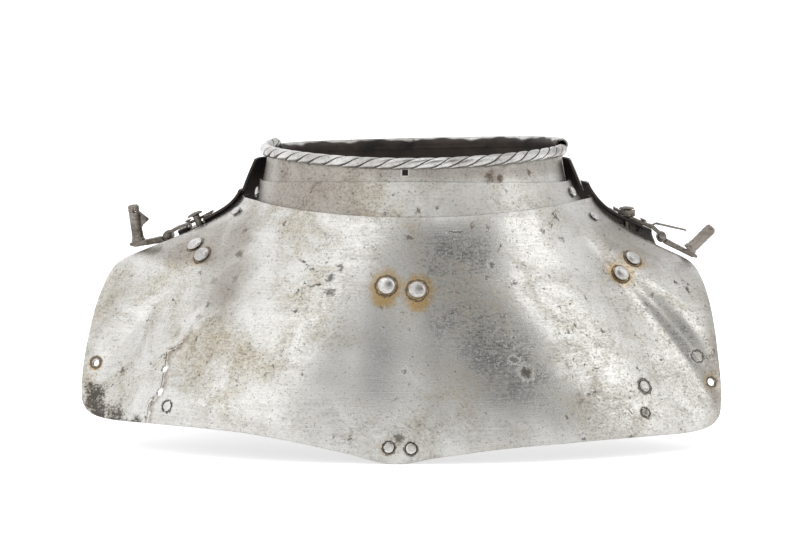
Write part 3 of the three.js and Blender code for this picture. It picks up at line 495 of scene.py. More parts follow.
class Finish:
    def __init__(self, name, tree=None, place="Object"):  # in a new material, or in the nodes that are given
        if tree is None:
            self.material = bpy.data.materials.new(name)
            self.material.use_nodes = True
            tree = self.material.node_tree
            tree.nodes.clear()
        self.tree = tree
        self.place = self.node("TexCoord", out=place)

    def node(self, kind, settings=None, values=None, out=0):
        made = self.tree.nodes.new("ShaderNode" + kind)
        for key, value in (settings or {}).items():
            setattr(made, key, value)
        for key, value in (values or {}).items():
            if isinstance(value, Wire):
                self.tree.links.new(value.socket, made.inputs[key])
            else:
                made.inputs[key].default_value = value
        return Wire(self.tree, made.outputs[out])

    def mask(self, name):
        return self.node("Attribute", {"attribute_name": name}, out="Fac")

    def stretched(self, x, y, z, shift=(0, 0, 0)):
        return self.node("Mapping", None, {"Vector": self.place, "Scale": (x, y, z), "Location": shift})

    def noise(self, scale, detail=4, rough=0.55, at=None, warp=0.0):
        return self.node("TexNoise", None, {"Vector": at or self.place, "Scale": scale, "Detail": detail,
                                            "Roughness": rough, "Distortion": warp})

    def step(self, value, low, high):  # smooth rise from 0 at low to 1 at high
        return self.node("MapRange", {"interpolation_type": "SMOOTHSTEP"},
                         {0: value, 1: low, 2: high, 3: 0.0, 4: 1.0})

    def blend(self, share, a, b):
        return self.node("Mix", {"data_type": "RGBA"}, {0: share, 6: a, 7: b}, out=2)

    def away(self, point):  # distance from a point given in millimetres
        centre = tuple(v / 1000 for v in point)
        return self.node("VectorMath", {"operation": "DISTANCE"}, {0: self.place, 1: centre}, out="Value")

    def out(self, base, rough, metal=0.0, bump=None, height=0.0002, glow=0.0):
        shader = self.tree.nodes.new("ShaderNodeBsdfPrincipled")
        for key, value in {"Base Color": base, "Roughness": rough, "Metallic": metal}.items():
            if isinstance(value, Wire):
                self.tree.links.new(value.socket, shader.inputs[key])
            else:
                shader.inputs[key].default_value = value
        if bump is not None:
            made = self.node("Bump", None, {"Height": bump, "Distance": height, "Strength": 1.0})
            self.tree.links.new(made.socket, shader.inputs["Normal"])
        if glow:
            shader.inputs["Emission Color"].default_value = (1, 1, 1, 1)
            shader.inputs["Emission Strength"].default_value = glow
        end = self.tree.nodes.new("ShaderNodeOutputMaterial")
        self.tree.links.new(shader.outputs[0], end.inputs[0])
        return self.material


# x, y, z, radius of single marks, in millimetres, as the solids stand
darkSpots = [
    [64.8, -108.4, 43.2, 4.2], [59.0, -107.3, 48.9, 2.3], [47.2, -85.3, 94.0, 2.3], [45.4, -89.3, 88.3, 1.3],
    [44.6, -77.7, 112.1, 1.7], [-27.9, -90.7, 93.6, 1.5], [-32.2, -92.8, 88.3, 2.2],
    [-32.5, -96.7, 81.0, 2.3],
    [-95.9, -72.5, 72.3, 1.3], [58.6, -86.1, 85.1, 1.4], [127.7, -44.4, 75.9, 0.9], [82.1, -55.2, 105.0, 1.1],
    [72.8, -61.1, 109.2, 1.0], [-140.0, -65.2, 38.4, 2.4], [5.4, -114.7, 43.9, 1.5], [3.6, -125.5, 12.4, 2.6],
    [124.1, -88.2, 21.0, 1.8], [35.5, -89.1, 94.1, 0.9], [3.2, -102.8, 72.1, 0.8],
]
paleSpots = [[-82.1, -71.5, 85.1, 2.0], [-93.7, -62.7, 83.7, 2.6], [-100.0, -74.0, 66.0, 2.0]]
rustSpots = [
    [37.2, -80.0, 113.8, 1.2], [-80.9, -59.7, 97.2, 2.2], [-79.3, -46.2, 108.0, 1.6],
    [10.8, -81.4, 120.7, 1.6], [45.9, -65.1, 136.8, 2.6], [50.0, -62.0, 136.0, 1.6],
    [65.8, -47.4, 137.9, 1.2],
]
# dark rings round the domes, plugs and holes, painted shadow at the base of each dome and plug and a dark
# mark round each hole: x, y, z, radius of the ring, half width of the line
ringShadowsAndMarks = [
    [-4.55, -97.3, 84.5, 5.3, 0.8], [10.75, -98.1, 82.6, 5.3, 0.8], [-106.35, -32.6, 99.7, 5.0, 0.5],
    [-101.85, -41.9, 95.1, 5.0, 0.5], [118.25, -33.9, 93.4, 4.9, 0.6], [111.95, -44.2, 86.4, 4.9, 0.6],
    [-155.35, -53.8, 40.8, 2.9, 1.1], [151.05, -51.9, 45.4, 3.2, 0.8], [123.75, -80.4, 33.3, 3.9, 0.8],
    [-1.95, -126.4, 7.8, 3.2, 0.7], [8.95, -126.6, 7.3, 3.2, 0.6], [124.15, -88.2, 21.0, 2.7, 0.7],
    [-114.05, -96.0, 23.9, 3.0, 0.7], [157.95, -54.6, 32.7, 2.5, 0.6],
]
haloSpots = [
    [-4.55, -97.3, 84.5, 11.5], [10.75, -98.1, 82.6, 11], [-5.5, -98.5, 79.0, 9.0], [11.5, -99.3, 77.0, 8.0],
    [157.95, -54.6, 32.7, 5.5], [-1.95, -126.4, 7.8, 5.5], [-155.35, -53.8, 40.8, 5.5],
    [118.25, -33.9, 93.4, 9.5], [111.95, -44.2, 86.4, 9.5], [-101.85, -41.9, 95.1, 9.0],
    [-106.35, -32.6, 99.7, 8.0],
]
crackLine = [[-108.35, -79.5, 54.2], [-110.85, -80.2, 51.2], [-116.15, -77.2, 49.3], [-116.05, -81.5, 44.5],
             [-116.75, -83.6, 41.3], [-117.55, -87.9, 34.4], [-118.55, -89.6, 30.5], [-124.05, -89.2, 23.8],
             [-124.85, -91.6, 17.1]]
branchLine = [[-116.15, -77.2, 49.3], [-123.25, -78.1, 41.1]]
wormLines = [
    [[-49.7, -81.6, 96.7], [-46.1, -84.5, 94.8], [-43.2, -87.0, 92.8], [-39.2, -89.7, 90.6]],
    [[-45.8, -90.9, 85.3], [-41.7, -92.9, 84.1], [-37.7, -93.5, 84.9]],
    [[-45.7, -91.2, 84.7], [-46.7, -92.8, 81.7], [-47.1, -95.0, 78.0]],
    [[51.4, -78.3, 103.7], [50.3, -80.7, 100.2]],
    [[139.8, -32.2, 81.1], [143.8, -28.2, 81.7], [146.8, -27.9, 79.9], [145.7, -32.0, 77.3],
     [148.5, -32.3, 74.9]],
    [[141.6, -33.5, 78.9], [144.2, -31.0, 79.2], [147.2, -31.6, 76.6]],
    [[86.3, -76.8, 75.8], [85.7, -78.8, 73.8]],
    [[23.5, -84.7, 110.5], [32.4, -82.7, 110.4]],
]


steel = {"light": (0.60, 0.595, 0.57, 1), "dull": (0.45, 0.44, 0.41, 1), "tint": (0.46, 0.42, 0.33, 1),
         "dirtAndShadow": (0.040, 0.030, 0.022, 1), "rust": (0.085, 0.048, 0.026, 1), "halo": (0.47, 0.31, 0.11, 1),
         "inside": (0.040, 0.026, 0.018, 1), "roughness": 0.17, "specks": 1.0}


# the switch for marks also turns on the painted shade, the painted shadow rings round the domes and plugs,
# and the painted shadow beside the crack
def agedSteel(name, marksAndShade=(), **change):
    look = dict(steel, **change)
    f = Finish(name)
    broad = f.noise(14, 5, 0.6)
    cloud = f.noise(48, 6, 0.62, warp=0.6)
    drawn = f.noise(1.0, 5, 0.6, at=f.stretched(26, 26, 1500))
    fine = f.noise(1.0, 3, 0.6, at=f.stretched(260, 260, 3400, (3, 1, 2)))
    speck = f.noise(1.0, 5, 0.68, at=f.stretched(430, 430, 900, (1, 5, 2)))
    grit = f.noise(950, 3, 0.6)
    # paler and duller clouds, brushed lines, and a yellow brown tint in patches
    worn = f.step(cloud * 0.6 + drawn * 0.3 + fine * 0.22, 0.40, 0.74)
    colour = f.blend(worn, look["light"], look["dull"])
    tint = f.step(broad * 0.7 + cloud * 0.45, 0.52, 0.80)
    colour = f.blend(tint * (f.mask("olive") * 0.55 + 0.35), colour, look["tint"])
    # dark specks, thicker where the clouds are dull
    patch = f.step(cloud * 0.6 + broad * 0.5, 0.42, 0.74)
    mottle = f.noise(1.0, 4, 0.72, at=f.stretched(560, 560, 800, (7, 2, 4)))
    mottle = f.step(mottle + patch * 0.05, 0.45, 0.68)
    specks = f.step(speck + patch * 0.08 * look["specks"], 0.59, 0.70)
    dots = f.step(grit + patch * 0.06 * look["specks"], 0.60, 0.69)
    few = f.step(f.noise(210, 5, 0.66, warp=0.5) + patch * 0.05 * look["specks"], 0.655, 0.70)
    dark = (mottle * (patch * 0.22 + 0.12)).most(specks * 0.46).most(dots * 0.55).most(few * 0.8)
    chip = f.noise(360, 4, 0.62, warp=0.8)
    jitter = (chip - 0.5) * 0.0085 + (grit - 0.5) * 0.0050
    pitsAndShadowRings = None
    for x, y, z, r in (marksAndShade or ()) and darkSpots:
        d = f.away((x, y, z)) + jitter
        spot = f.step(d, r * 0.0013, r * 0.0003) * (0.55 + 0.09 * r)
        pitsAndShadowRings = spot if pitsAndShadowRings is None else pitsAndShadowRings.most(spot)
    for x, y, z, r in (marksAndShade or ()) and paleSpots:
        d = f.away((x, y, z)) + jitter
        dark = dark.most(f.step(d, r * 0.0013, r * 0.0005) * 0.42)
    rust = f.step(f.noise(90, 6, 0.7, warp=1.2) * 0.6 + broad * 0.5, 0.63, 0.74) * 0.5
    for x, y, z, r in (marksAndShade or ()) and rustSpots:
        d = f.away((x, y, z)) + jitter
        rust = rust.most(f.step(d, r * 0.0016, r * 0.0002) * 0.8)
    if marksAndShade:
        # painted shadow rings round the bases of the domes and plugs, and dark rings round the holes
        for x, y, z, r, w in ringShadowsAndMarks:
            d = f.away((x, y, z)) + jitter * 0.35 - r / 1000
            d = d.calc("ABSOLUTE", d)
            pitsAndShadowRings = pitsAndShadowRings.most(f.step(d, w * 0.0012, w * 0.0003) * 0.85)
        lines = f.step(f.mask("line") + (chip - 0.5) * 2.0 + (grit - 0.5) * 1.0, 0.72, 0.98)
        pitsAndShadowRings = pitsAndShadowRings.most(lines * 0.8)
        halo = f.step(f.mask("halo") + (chip - 0.5) * 0.9 + (cloud - 0.5) * 0.5, 0.02, 0.62)
        colour = f.blend(halo * 0.85, colour, look["halo"])
        uneven = (cloud - 0.5) * 1.2 + (speck - 0.5) * 1.1 + (grit - 0.5) * 0.6
        smoke = f.step(f.mask("smoke") * 0.78 + uneven, 0.30, 0.74)
        dark = dark.most(smoke * 0.97)
        # painted shade: a dark grey brown laid where the shade mask is high, on the front plate's shoulders,
        # left side and right edge, and on the rings
        painted_shade = f.step(f.mask("painted_shade") + (cloud - 0.5) * 0.5, 0.1, 0.9)
        colour = f.blend(painted_shade * 0.78, colour, (0.27, 0.245, 0.215, 1))
        # painted shadow in brown along the right side of the crack
        crack_shadow = f.step(f.mask("crack_shadow") + (chip - 0.5) * 0.8, 0.2, 0.9)
        colour = f.blend(crack_shadow * 0.7, colour, (0.20, 0.14, 0.09, 1))
    colour = f.blend(dark, colour, look["dirtAndShadow"])
    colour = f.blend(rust, colour, look["rust"])
    # pits and lines, with the painted shadow rings round the domes and plugs, darken to the dirt and shadow
    # colour
    if pitsAndShadowRings is not None:
        colour = f.blend(pitsAndShadowRings, colour, look["dirtAndShadow"])
        dark = dark.most(pitsAndShadowRings)
    inner = f.mask("inside")
    soot = f.blend(f.step(cloud, 0.35, 0.7), look["inside"], (0.006, 0.005, 0.0045, 1))
    colour = f.blend(inner, colour, soot)
    metal = (1 - dark * 0.75 - rust * 0.6).part() * (1 - inner * 0.75)
    rough = (look["roughness"] + worn * 0.12 + drawn * 0.08 + dark * 0.35 + rust * 0.3 + inner * 0.25).part()
    bump = drawn * 0.22 + fine * 0.14 + cloud * 0.22 - dark * 0.35
    if pitsAndShadowRings is not None:
        bump = bump - pitsAndShadowRings * 1.2
    return f.out(base=colour, rough=rough, metal=metal, bump=bump, height=0.00013)


# pieces
makeStage()
plateSteel = agedSteel("plateSteel", marksAndShade=True)
# the rings' steel is a darker copy of the plate steel: its lower colours are painted shade
shadedRingSteel = agedSteel("shadedRingSteel", marksAndShade=True, roughness=0.26, specks=0.9, light=(0.54, 0.53, 0.50, 1),
                      dull=(0.40, 0.385, 0.355, 1))
backSteel = agedSteel("backSteel")
domeSteel = agedSteel("domeSteel", light=(0.56, 0.55, 0.54, 1), dull=(0.40, 0.39, 0.375, 1), roughness=0.17,
                      specks=0.2, tint=(0.44, 0.41, 0.36, 1))
fittingSteel = agedSteel("fittingSteel", light=(0.25, 0.225, 0.20, 1), dull=(0.055, 0.045, 0.036, 1),
                         roughness=0.24, specks=2.2, tint=(0.17, 0.12, 0.08, 1))
ropeSteel = agedSteel("ropeSteel", light=(0.58, 0.575, 0.56, 1), dull=(0.38, 0.37, 0.35, 1), roughness=0.24,
                      specks=1.4, tint=(0.42, 0.38, 0.31, 1))
print("finishes made")

hammered = {"wave": 0.16, "fade": 0.16}  # height of the hammer waves, and where they begin


def hammerWave(P, T):
    # sum of a few slanted sines of the place, none near the neck edge
    x, y, z = P[..., 0], P[..., 1], P[..., 2]
    w = (np.sin(0.11 * x + 0.05 * z + 1) + np.sin(0.083 * z - 0.06 * x + 0.04 * y)
         + np.sin(0.16 * x - 0.11 * z + 2) + 0.6 * np.sin(0.21 * z + 0.13 * y + 0.09 * x))
    return hammered["wave"] * 0.4 * w * ramp((T - hammered["fade"]) / 0.25)


def finish(obj, material, body, *replaced):
    obj.data.materials.clear()
    obj.data.materials.append(material)
    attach(obj, body)
    if replaced:
        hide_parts(*replaced)
    return obj


lineMask = lambda p: np.max([nearLine(p, np.array(r) - [aside, 0, 0], 2.4) for r in wormLines + [branchLine]]
                            + [nearLine(p, np.array(crackLine) - [aside, 0, 0], 3.2)], axis=0)
# painted shade on the tops of the shoulders, less on the right one
shoulderShade = lambda p: (ramp((p[..., 2] - 84) / 14) * ramp((abs(p[..., 0]) - 86) / 16)
                          * (1 - 0.3 * (p[..., 0] > 0)))
frontMasks = {
    "line": lineMask,
    "halo": lambda p: nearSpots(p, haloSpots),
    "smoke": lambda p: np.maximum(nearSpots(p, [[-156, -62, 24, 17], [-152, -68, 15, 18], [-143, -77, 13, 19],
                                                [-131, -88, 12, 17]]),
                                  0.5 * nearLine(p, [[8, -126, 24], [-2, -122, 34], [-10, -112, 50]], 16)),
    # painted shade: the shoulder tops, the left shoulder and left side, and the right edge
    "painted_shade": lambda p: np.max([shoulderShade(p),
                               nearLine(p, [[-88, -40, 108], [-96, -66, 92], [-92, -74, 78]], 28) * 0.9,
                               nearLine(p, [[-147, -30, 78], [-152, -50, 50], [-128, -74, 60]], 26) * 0.5,
                               ramp((p[..., 0] - 143) / 12) * 0.6], axis=0),
    "olive": lambda p: ramp((-p[..., 0] - 5) / 70),
    # painted shadow beside the crack, shifted to its right
    "crack_shadow": lambda p: nearLine(p, np.array(crackLine) - [aside - 1.4, 0, 0], 4.5),
}
domeRows = [
    # node, u, t, head radius, head height
    ["dome_left_rear", -8.2, 0.405, 4.3, 2], ["dome_left_front", -6.82, 0.37, 4.3, 2],
    ["dome_right_rear", 8.24, 0.495, 4.1, 2], ["dome_right_front", 6.77, 0.453, 4.1, 2],
    ["dome_middle_left", -0.28, 0.36, 4.4, 2.2], ["dome_middle_right", 0.61, 0.38, 4.4, 2.2],
]
plugRows = [["plug_tip_left", -0.1, 0.94, 2.7], ["plug_tip_right", 0.4, 0.948, 2.7],
            ["plug_low_left", -3.84, 0.925, 2.5], ["plug_low_right", 4.4, 0.805, 3],
            ["plug_corner_right", 4.19, 0.905, 2.3]]
openHoles = [[-6.85, 0.88, 1.7], [-4.22, 0.78, 1.9], [-4.08, 0.87, 1.9], [6.81, 0.91, 2]]
crackRows = [  # u, t, half width of the open crack
    [-4.13, 1.03, 0.7], [-4.12, 0.983, 0.55], [-4.17, 0.925, 0.35], [-4.08, 0.87, 0.45], [-4.11, 0.838, 0.35],
    [-4.22, 0.78, 0.4], [-4.27, 0.753, 0.35], [-4.4, 0.713, 0.35], [-4.23, 0.698, 0.3], [-4.21, 0.672, 0.2],
]
# radius of the holes, then radius and height of the head, radius of the shank and of the tail
ringRivet = {"hole": 1.92, "sizes": (2.9, 1.6, 1.5, 2.4)}
ringRivets = [
    # side, place on the front plate, place on the lower front ring
    ["left", [-8.83, 0.165], [-81, 0.36]], ["right", [8.67, 0.193], [76.1, 0.315]],
]
backRivets = [["left", [-4, 0.045], [222, 0.3]], ["right", [4, 0.045], [138, 0.3]]]
frontEnd, backEnd = len(frontRows) - 1, len(backRows) - 1


def spread(n, power):
    return np.linspace(0, 1, n) ** power


# room on each side of the swung back sheet, share of that sheet that is swept, degrees of its turns, and
# the box in x, y and z that the cut stays in
cornerCut = {"room": 0.5, "reach": 0.52, "from": 3, "to": 27, "turns": 10,
             "box": ((87, 101), (-5, 11), (109, 125))}


def makeFrontPlate():
    obj = sheetMesh("front_plate_steel", frontAt, np.linspace(-frontEnd, frontEnd, 400), spread(104, 1.15),
                    hammerWave, frontMasks)
    rows = []
    for name, u, t, head, high in domeRows:
        place, axis = onPlate(frontAt, u, t, frontEnd)
        rows.append([place, axis, 2, 9, 5])
    for name, u, t, r in plugRows:
        place, axis = onPlate(frontAt, u, t, frontEnd)
        rows.append([place, axis, r + 0.46, 9, 5])
    for side, low, high in ringRivets:
        place, axis = onPlate(frontAt, *low, frontEnd)
        rows.append([place, axis, ringRivet["hole"], 9, 5])
    rows.append([np.array([*pivot, 60.0]), [0, 0, 1], 2.1, 0, 80])
    studAxis = np.array([-0.42, 0, 1]) / math.hypot(0.42, 1)
    rows.append([np.mean(nodePoints("stud_left"), axis=0), studAxis, 2.35, 12, 5])
    carve(obj, drills("drills", rows))
    # the crack is one ribbon along its row of points, cut through the sheet
    points = []
    for u, t, half in crackRows:
        end = frontAt(np.array(u), np.array(min(t, 1.0)))
        down = (end - frontAt(np.array(u), np.array(min(t, 1.0) - 0.02))) / 0.02
        place, axis = onPlate(frontAt, u, min(t, 1), frontEnd)
        place = place + down * max(0, t - 1)
        points.append([place + [s, 0, 0] + axis * lift for s, lift in
                       ((-half, 2), (half, 2), (half, -3), (-half, -3))])
    points = np.array(points)
    n = len(points)
    ends = [[3, 2, 1, 0], [4 * n - 4, 4 * n - 3, 4 * n - 2, 4 * n - 1]]
    quads = np.concatenate([gridFaces(n, 4, True), ends])
    carve(obj, putMesh("crackTool", points.reshape(-1, 3), quads))
    rows = []
    for u, t, r in openHoles:
        place, axis = onPlate(frontAt, u, t, frontEnd)
        rows.append([place, axis, r, 9, 5])
    carve(obj, drills("holes", rows))
    # the neck corner gives way to the back half as that swings open
    cut = cornerCut
    for deg in np.linspace(cut["from"], cut["to"], cut["turns"]):
        a = -math.radians(deg)
        px, py = pivot
        swung = lambda u, t: (backAt(u, t) - [px, py, 0]) @ np.array(
            [[math.cos(a), math.sin(a), 0], [-math.sin(a), math.cos(a), 0], [0, 0, 1]]) + [px, py, 0]
        tool = sheetMesh("swungSheet", swung, np.linspace(backEnd - 3, backEnd, 28),
                         np.linspace(0, cut["reach"], 18), lambda P, T: T * 0 + cut["room"], None,
                         wall + 2 * cut["room"])
        keepOnly(tool, boxTool("cornerBox", *cut["box"]))
        carve(obj, tool)
    smooth(obj.data, 40)
    finish(obj, plateSteel, "front", "front_plate")


makeFrontPlate()
print("front plate made")


def makeBackPlate():
    obj = sheetMesh("back_plate_steel", backAt, np.linspace(-backEnd, backEnd, 280), spread(90, 1.15),
                    hammerWave, paintedShadeEdges=True)
    rows = []
    for side, low, high in backRivets:
        place, axis = onPlate(backAt, *low, backEnd)
        rows.append([place, axis, ringRivet["hole"], 9, 5])
    rows.append([np.array([*pivot, 60.0]), [0, 0, 1], 2.1, 0, 80])
    carve(obj, drills("drills", rows))
    carve(obj, boxTool("slotTool", (-117.6, -110.2), (-51.8, 8.2), (88, 128)))
    carve(obj, boxTool("floorTool", (-200, 200), (-200, 200), (-20, 0)))
    smooth(obj.data, 40)
    finish(obj, backSteel, "back", "back_plate")


makeBackPlate()
print("back plate made")

rope = {"radius": 2.9, "lead": 28.0, "groove": 0.24, "wander": 0.10}
roll = {"radius": 3.2, "bore": 2.2}


def strandAngle(deg, ang):  # turn of the strands at a station, with a slow wander
    along = (deg - ropeStart) * math.radians(76.3) / rope["lead"]
    wander = rope["wander"] * (np.sin(deg * 0.21) + 0.7 * np.sin(deg * 0.57 + 1.3))
    return 1.5 * (ang - 2 * np.pi * along + wander)


def ropeSection(deg, ang):  # three flattened strands: the absolute sine to a small power
    lobe = np.abs(np.sin(strandAngle(deg, ang)))
    taper = np.clip((deg - ropeStart) / 0.9, 0, 1) * np.clip((ropeEnd - deg) / 0.6, 0, 1)
    return rope["radius"] * (1.04 - rope["groove"] * (1 - lobe) ** 2.2) * (0.86 + 0.14 * np.sqrt(taper))


def ropeGroove(deg, ang):  # 1 in the grooves, and a fainter file cut beside each
    turn = strandAngle(deg, ang)
    deep = 0.34 + 0.2 * np.sin(deg * 0.37) * np.sin(deg * 0.11 + 1)
    fine = ramp((0.16 - np.abs(np.sin(turn + 0.62))) / 0.16) * deep
    return np.maximum(np.clip((0.36 - np.abs(np.sin(turn))) / 0.36, 0, 1), fine)


# painted shade, darker to the left, and a painted shadow with some brown dirt close under the rope
ringMasks = {
    "painted_shade": lambda p: np.maximum(ramp((10 - p[..., 0]) / 60) * 0.9, ramp((p[..., 2] - 132) / 7) * 0.75),
    "olive": lambda p: ramp((30 - p[..., 0]) / 60),
}


def makeRings():
    ts = np.linspace(0, 1, 20)
    lower = sheetMesh("front_ring_lower_steel", lambda a, t: ringAt("frontLower", a, t),
                      np.linspace(-90, 88.4, 220), ts, None, ringMasks)
    upper = sheetMesh("front_ring_upper_sheet", lambda a, t: ringAt("frontUpper", a, t),
                      np.linspace(ropeStart, ropeEnd, 220), ts, None, ringMasks)
    rows, lowRows, highRows = [], [], []
    for side, low, high in ringRivets:
        place, axis = onPlate(frontAt, *low, frontEnd)
        lowRows.append([place, axis, ringRivet["hole"], 13, 4])
        place, axis = onRing("frontLower", *high)
        highRows.append([place, axis, ringRivet["hole"], 13, 4])
    carve(lower, drills("drills", lowRows + highRows))
    carve(upper, drills("drills", highRows))
    carve(upper, boxTool("holeTool", (-2.5, 0.5), (-83, -71), (137.9, 140.9)))
    strands = rodMesh("rope", lambda a: rimAt(a, False), np.linspace(ropeStart, ropeEnd, 720), ropeSection,
                      48, {"groove": ropeGroove})
    smooth(lower.data, 40)
    finish(lower, shadedRingSteel, "front_lame", "front_ring_lower")
    finish(upper, shadedRingSteel, "front_collar", "front_ring_upper")
    smooth(upper.data, 40)
    finish(strands, ropeFinish(), "front_collar")
    lower = sheetMesh("back_ring_lower_steel", lambda a, t: ringAt("backLower", a, t),
                      np.linspace(85, 275, 200), ts, paintedShadeEdges=True)
    upper = sheetMesh("back_ring_upper_sheet", lambda a, t: ringAt("backUpper", a, t),
                      np.linspace(ropeEnd + 0.7, rollEnd, 200), ts)
    lowRows, highRows = [], []
    for side, low, high in backRivets:
        place, axis = onPlate(backAt, *low, backEnd)
        lowRows.append([place, axis, ringRivet["hole"], 13, 4])
        place, axis = onRing("backLower", *high)
        highRows.append([place, axis, ringRivet["hole"], 13, 4])
    carve(lower, drills("drills", lowRows + highRows))
    carve(upper, drills("drills", highRows))
    # only the top and the outside of the roll are bright: its side towards the neck is as dark as the inside
    edge = lambda deg: 2.15 - 0.25 * np.sin(0.23 * deg) - 0.12 * np.sin(0.71 * deg)
    tube = rodMesh("back_roll", lambda a: rimAt(a, True), np.linspace(ropeEnd + 0.7, rollEnd, 300),
                   lambda deg, ang: roll["radius"] + 0 * deg * ang, 40,
                   {"inside": lambda deg, ang: ramp((ang - edge(deg)) / 0.4) * ramp((5.4 - ang) / 0.4)},
                   roll["bore"])
    for obj in (lower, upper):
        smooth(obj.data, 40)
    finish(lower, backSteel, "back_lame", "back_ring_lower")
    finish(upper, backSteel, "back_collar", "back_ring_upper")
    finish(tube, ropeSteel, "back_collar")


def ropeFinish():
    f = Finish("ropeWorn")
    cloud = f.noise(60, 6, 0.6)
    grit = f.noise(900, 4, 0.65)
    groove = f.step(f.mask("groove") + (grit - 0.5) * 0.6, 0.20, 0.66)
    colour = f.blend(f.step(cloud + grit * 0.3, 0.45, 0.85), (0.58, 0.575, 0.56, 1), (0.33, 0.32, 0.30, 1))
    dots = f.step(grit, 0.58, 0.70) * 0.6
    dark = groove.most(dots)
    colour = f.blend(dark, colour, (0.035, 0.030, 0.026, 1))
    return f.out(base=colour, rough=(0.22 + cloud * 0.15 + dark * 0.4).part(), metal=(1 - dark * 0.6).part(),
                 bump=cloud * 0.3 + grit * 0.2 - dark * 0.4, height=0.00018)


makeRings()
print("rings, rope and roll made")


def domeProfile(low, high, tail, shank, head, rise, plate=0.8):
    # flat tail, shank, then a dome: radius by the cosine and height by the sine of one angle
    base = high - rise
    a = np.linspace(0, np.pi / 2, 12)
    dome = [[head * math.cos(k) ** 0.92, base + 0.3 + (rise - 0.3) * math.sin(k)] for k in a[:-1]]
    return [[0, low], [tail * 0.85, low], [tail, low + plate * 0.4], [tail, low + plate],
            [shank, low + plate], [shank, base], [head * 0.96, base], [head, base + 0.12], *dome, [0, high]]


def rivetPiece(node, place, axis, body, head, rise, shank, tail, plate=0.8, material=None):
    h = (nodePoints(node) - place) @ axis
    profile = domeProfile(h.min(), h.max(), tail, shank, head, rise, plate)
    obj = turnedMesh(node + "_steel", place, axis, profile, uneven=0.018, phase=len(node) + place[2])
    finish(obj, material or domeSteel, body, node)


for name, u, t, head, high in domeRows:
    rivetPiece(name, *onPlate(frontAt, u, t, frontEnd), "front", head, high, 1.6, 2.8)
for side, low, high in ringRivets:
    rivetPiece("ring_rivet_low_" + side, *onPlate(frontAt, *low, frontEnd), "front", *ringRivet["sizes"])
    rivetPiece("ring_rivet_high_" + side, *onRing("frontLower", *high), "front_lame", *ringRivet["sizes"])
for side, low, high in backRivets:
    rivetPiece("back_rivet_low_" + side, *onPlate(backAt, *low, backEnd), "back", *ringRivet["sizes"])
    rivetPiece("back_rivet_high_" + side, *onRing("backLower", *high), "back_lame", *ringRivet["sizes"])
for name, u, t, r in plugRows:
    place, axis = onPlate(frontAt, u, t, frontEnd)
    h = (nodePoints(name) - place) @ axis
    low, high = h.min(), h.max()
    profile = [[0, low], [r + 0.8, low], [r + 0.8, low + 0.7], [r, low + 0.7], [r, high - 0.25],
               [r * 0.93, high - 0.05], [r * 0.5, high], [0, high - 0.05]]
    obj = turnedMesh(name + "_steel", place, axis, profile, uneven=0.02, phase=r * 3)
    finish(obj, plateSteel, "front", name)
print("rivets and plugs made")

bodyOf = {n: b for b, group in frame["record"]["behaviour"]["bodies"].items() for n in group}
# size of a facet and depth of the wear in millimetres, and both for the small pieces
wornPieces = {"grain": 0.26, "rough": 0.07, "smallGrain": 0.17, "smallRough": 0.03}


# place, axis, number of petals, depth of the cuts between them, radius where they begin
petals = {
    "stud_left": [np.mean(nodePoints("stud_left"), axis=0), [-0.42, 0, 1], 3, 0.24, 2.1],
    "pivot_rivet": [np.mean(nodePoints("pivot_rivet"), axis=0), [0, 0, 1], 6, 0.2, 2.2],
}


def petalled(q, place, axis, number, deep, start):
    # draws the rim of a head in between its petals, by the absolute cosine of their angle
    w = np.array(axis, float) / np.linalg.norm(axis)
    across = np.cross(w, [0, 1, 0])
    other = np.cross(w, across)
    rel = q - place
    a, b = rel @ across, rel @ other
    r = np.hypot(a, b)
    pull = 1 - deep * ramp((r - start) / 1.2) * (1 - np.abs(np.cos(number / 2 * np.arctan2(b, a)))) ** 1.4
    return place + np.outer(rel @ w, w) + np.outer(a * pull, across) + np.outer(b * pull, other)


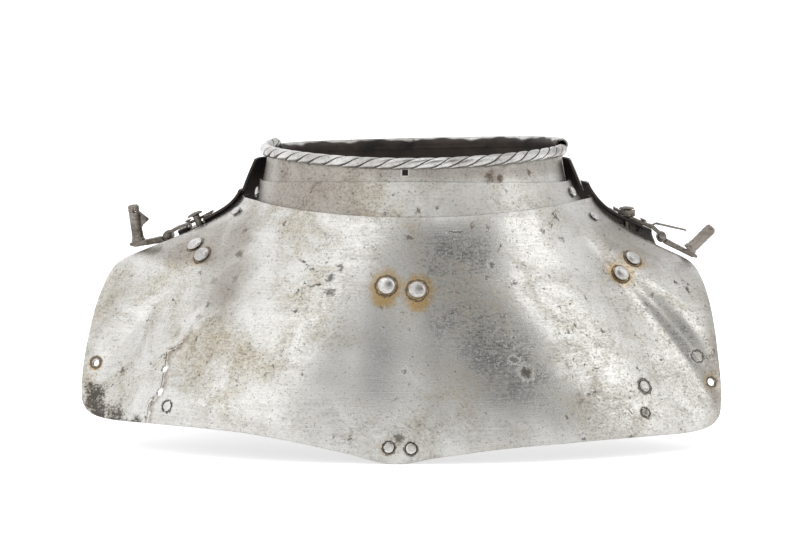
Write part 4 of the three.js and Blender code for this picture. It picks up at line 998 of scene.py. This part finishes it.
def wornCopy(name, grain, depth):
    # a node's shape with merged corners, rounded by voxels, then worn by a sum of sines
    mesh = nodes[name].data.copy()
    bm = bmesh.new()
    bm.from_mesh(mesh)
    bmesh.ops.remove_doubles(bm, verts=bm.verts, dist=2e-6)
    bm.to_mesh(mesh)
    bm.free()
    obj = bpy.data.objects.new(name + "_worn", mesh)
    bpy.context.scene.collection.objects.link(obj)
    made = obj.modifiers.new("grain", "REMESH")
    made.mode, made.voxel_size, made.use_smooth_shade = "VOXEL", grain / 1000, True
    soft = obj.modifiers.new("soft", "SMOOTH")
    soft.factor, soft.iterations = 0.5, 3
    mesh = bpy.data.meshes.new_from_object(obj.evaluated_get(bpy.context.evaluated_depsgraph_get()))
    obj.modifiers.clear()
    p = np.empty(len(mesh.vertices) * 3)
    mesh.vertices.foreach_get("co", p)
    p = p.reshape(-1, 3)
    q = p * 1000
    n = np.empty(len(mesh.vertices) * 3)
    mesh.vertices.foreach_get("normal", n)
    x, y, z = q.T
    wear = (np.sin(1.7 * x + 0.9 * z) * np.sin(1.3 * y - 0.8 * x + 1) + 0.6 * np.sin(3.1 * z + 2.3 * y)
            * np.sin(2.9 * x - 1.1 * z) + 0.35 * np.sin(6.1 * x + 5.2 * y) * np.sin(5.7 * z - 4.4 * y))
    if name.startswith(("strap", "leaf")) and "rivet" not in name:
        # shallow cuts across the upper side, slanted away from the middle line
        cut = np.clip(np.sin(2.6 * x + 0.9 * np.abs(y - 8)) - 0.1, 0, 1)
        cut = cut * ramp((n.reshape(-1, 3)[:, 2] - 0.4) / 0.4)
        wear = wear - cut * 0.3 / depth
    p = p + n.reshape(-1, 3) * (wear * depth / 1000)[:, None]
    if name in petals:
        place, *rest = petals[name]
        p = (petalled(p * 1000 - [aside, 0, 0], place, *rest) + [aside, 0, 0]) / 1000
    mesh.vertices.foreach_set("co", p.ravel())
    mesh.update()
    smooth(mesh, 70)
    obj.data = mesh
    return obj


for name in ("strap_left", "strap_right", "leaf_left", "leaf_right", "stud_left", "pivot_rivet",
             "spring_strip_right", "catch_left", "hinge_pin_left", "hinge_pin_right", "strap_rivet_left",
             "strap_rivet_right",
             "strip_rivet_right", "catch_pin_left"):
    small = name.startswith(("catch", "strap_rivet", "strip_rivet", "spring", "hinge"))
    size = ("smallGrain", "smallRough") if small else ("grain", "rough")
    obj = wornCopy(name, wornPieces[size[0]], wornPieces[size[1]])
    finish(obj, fittingSteel, bodyOf[name], name)
print("shoulder fittings made")
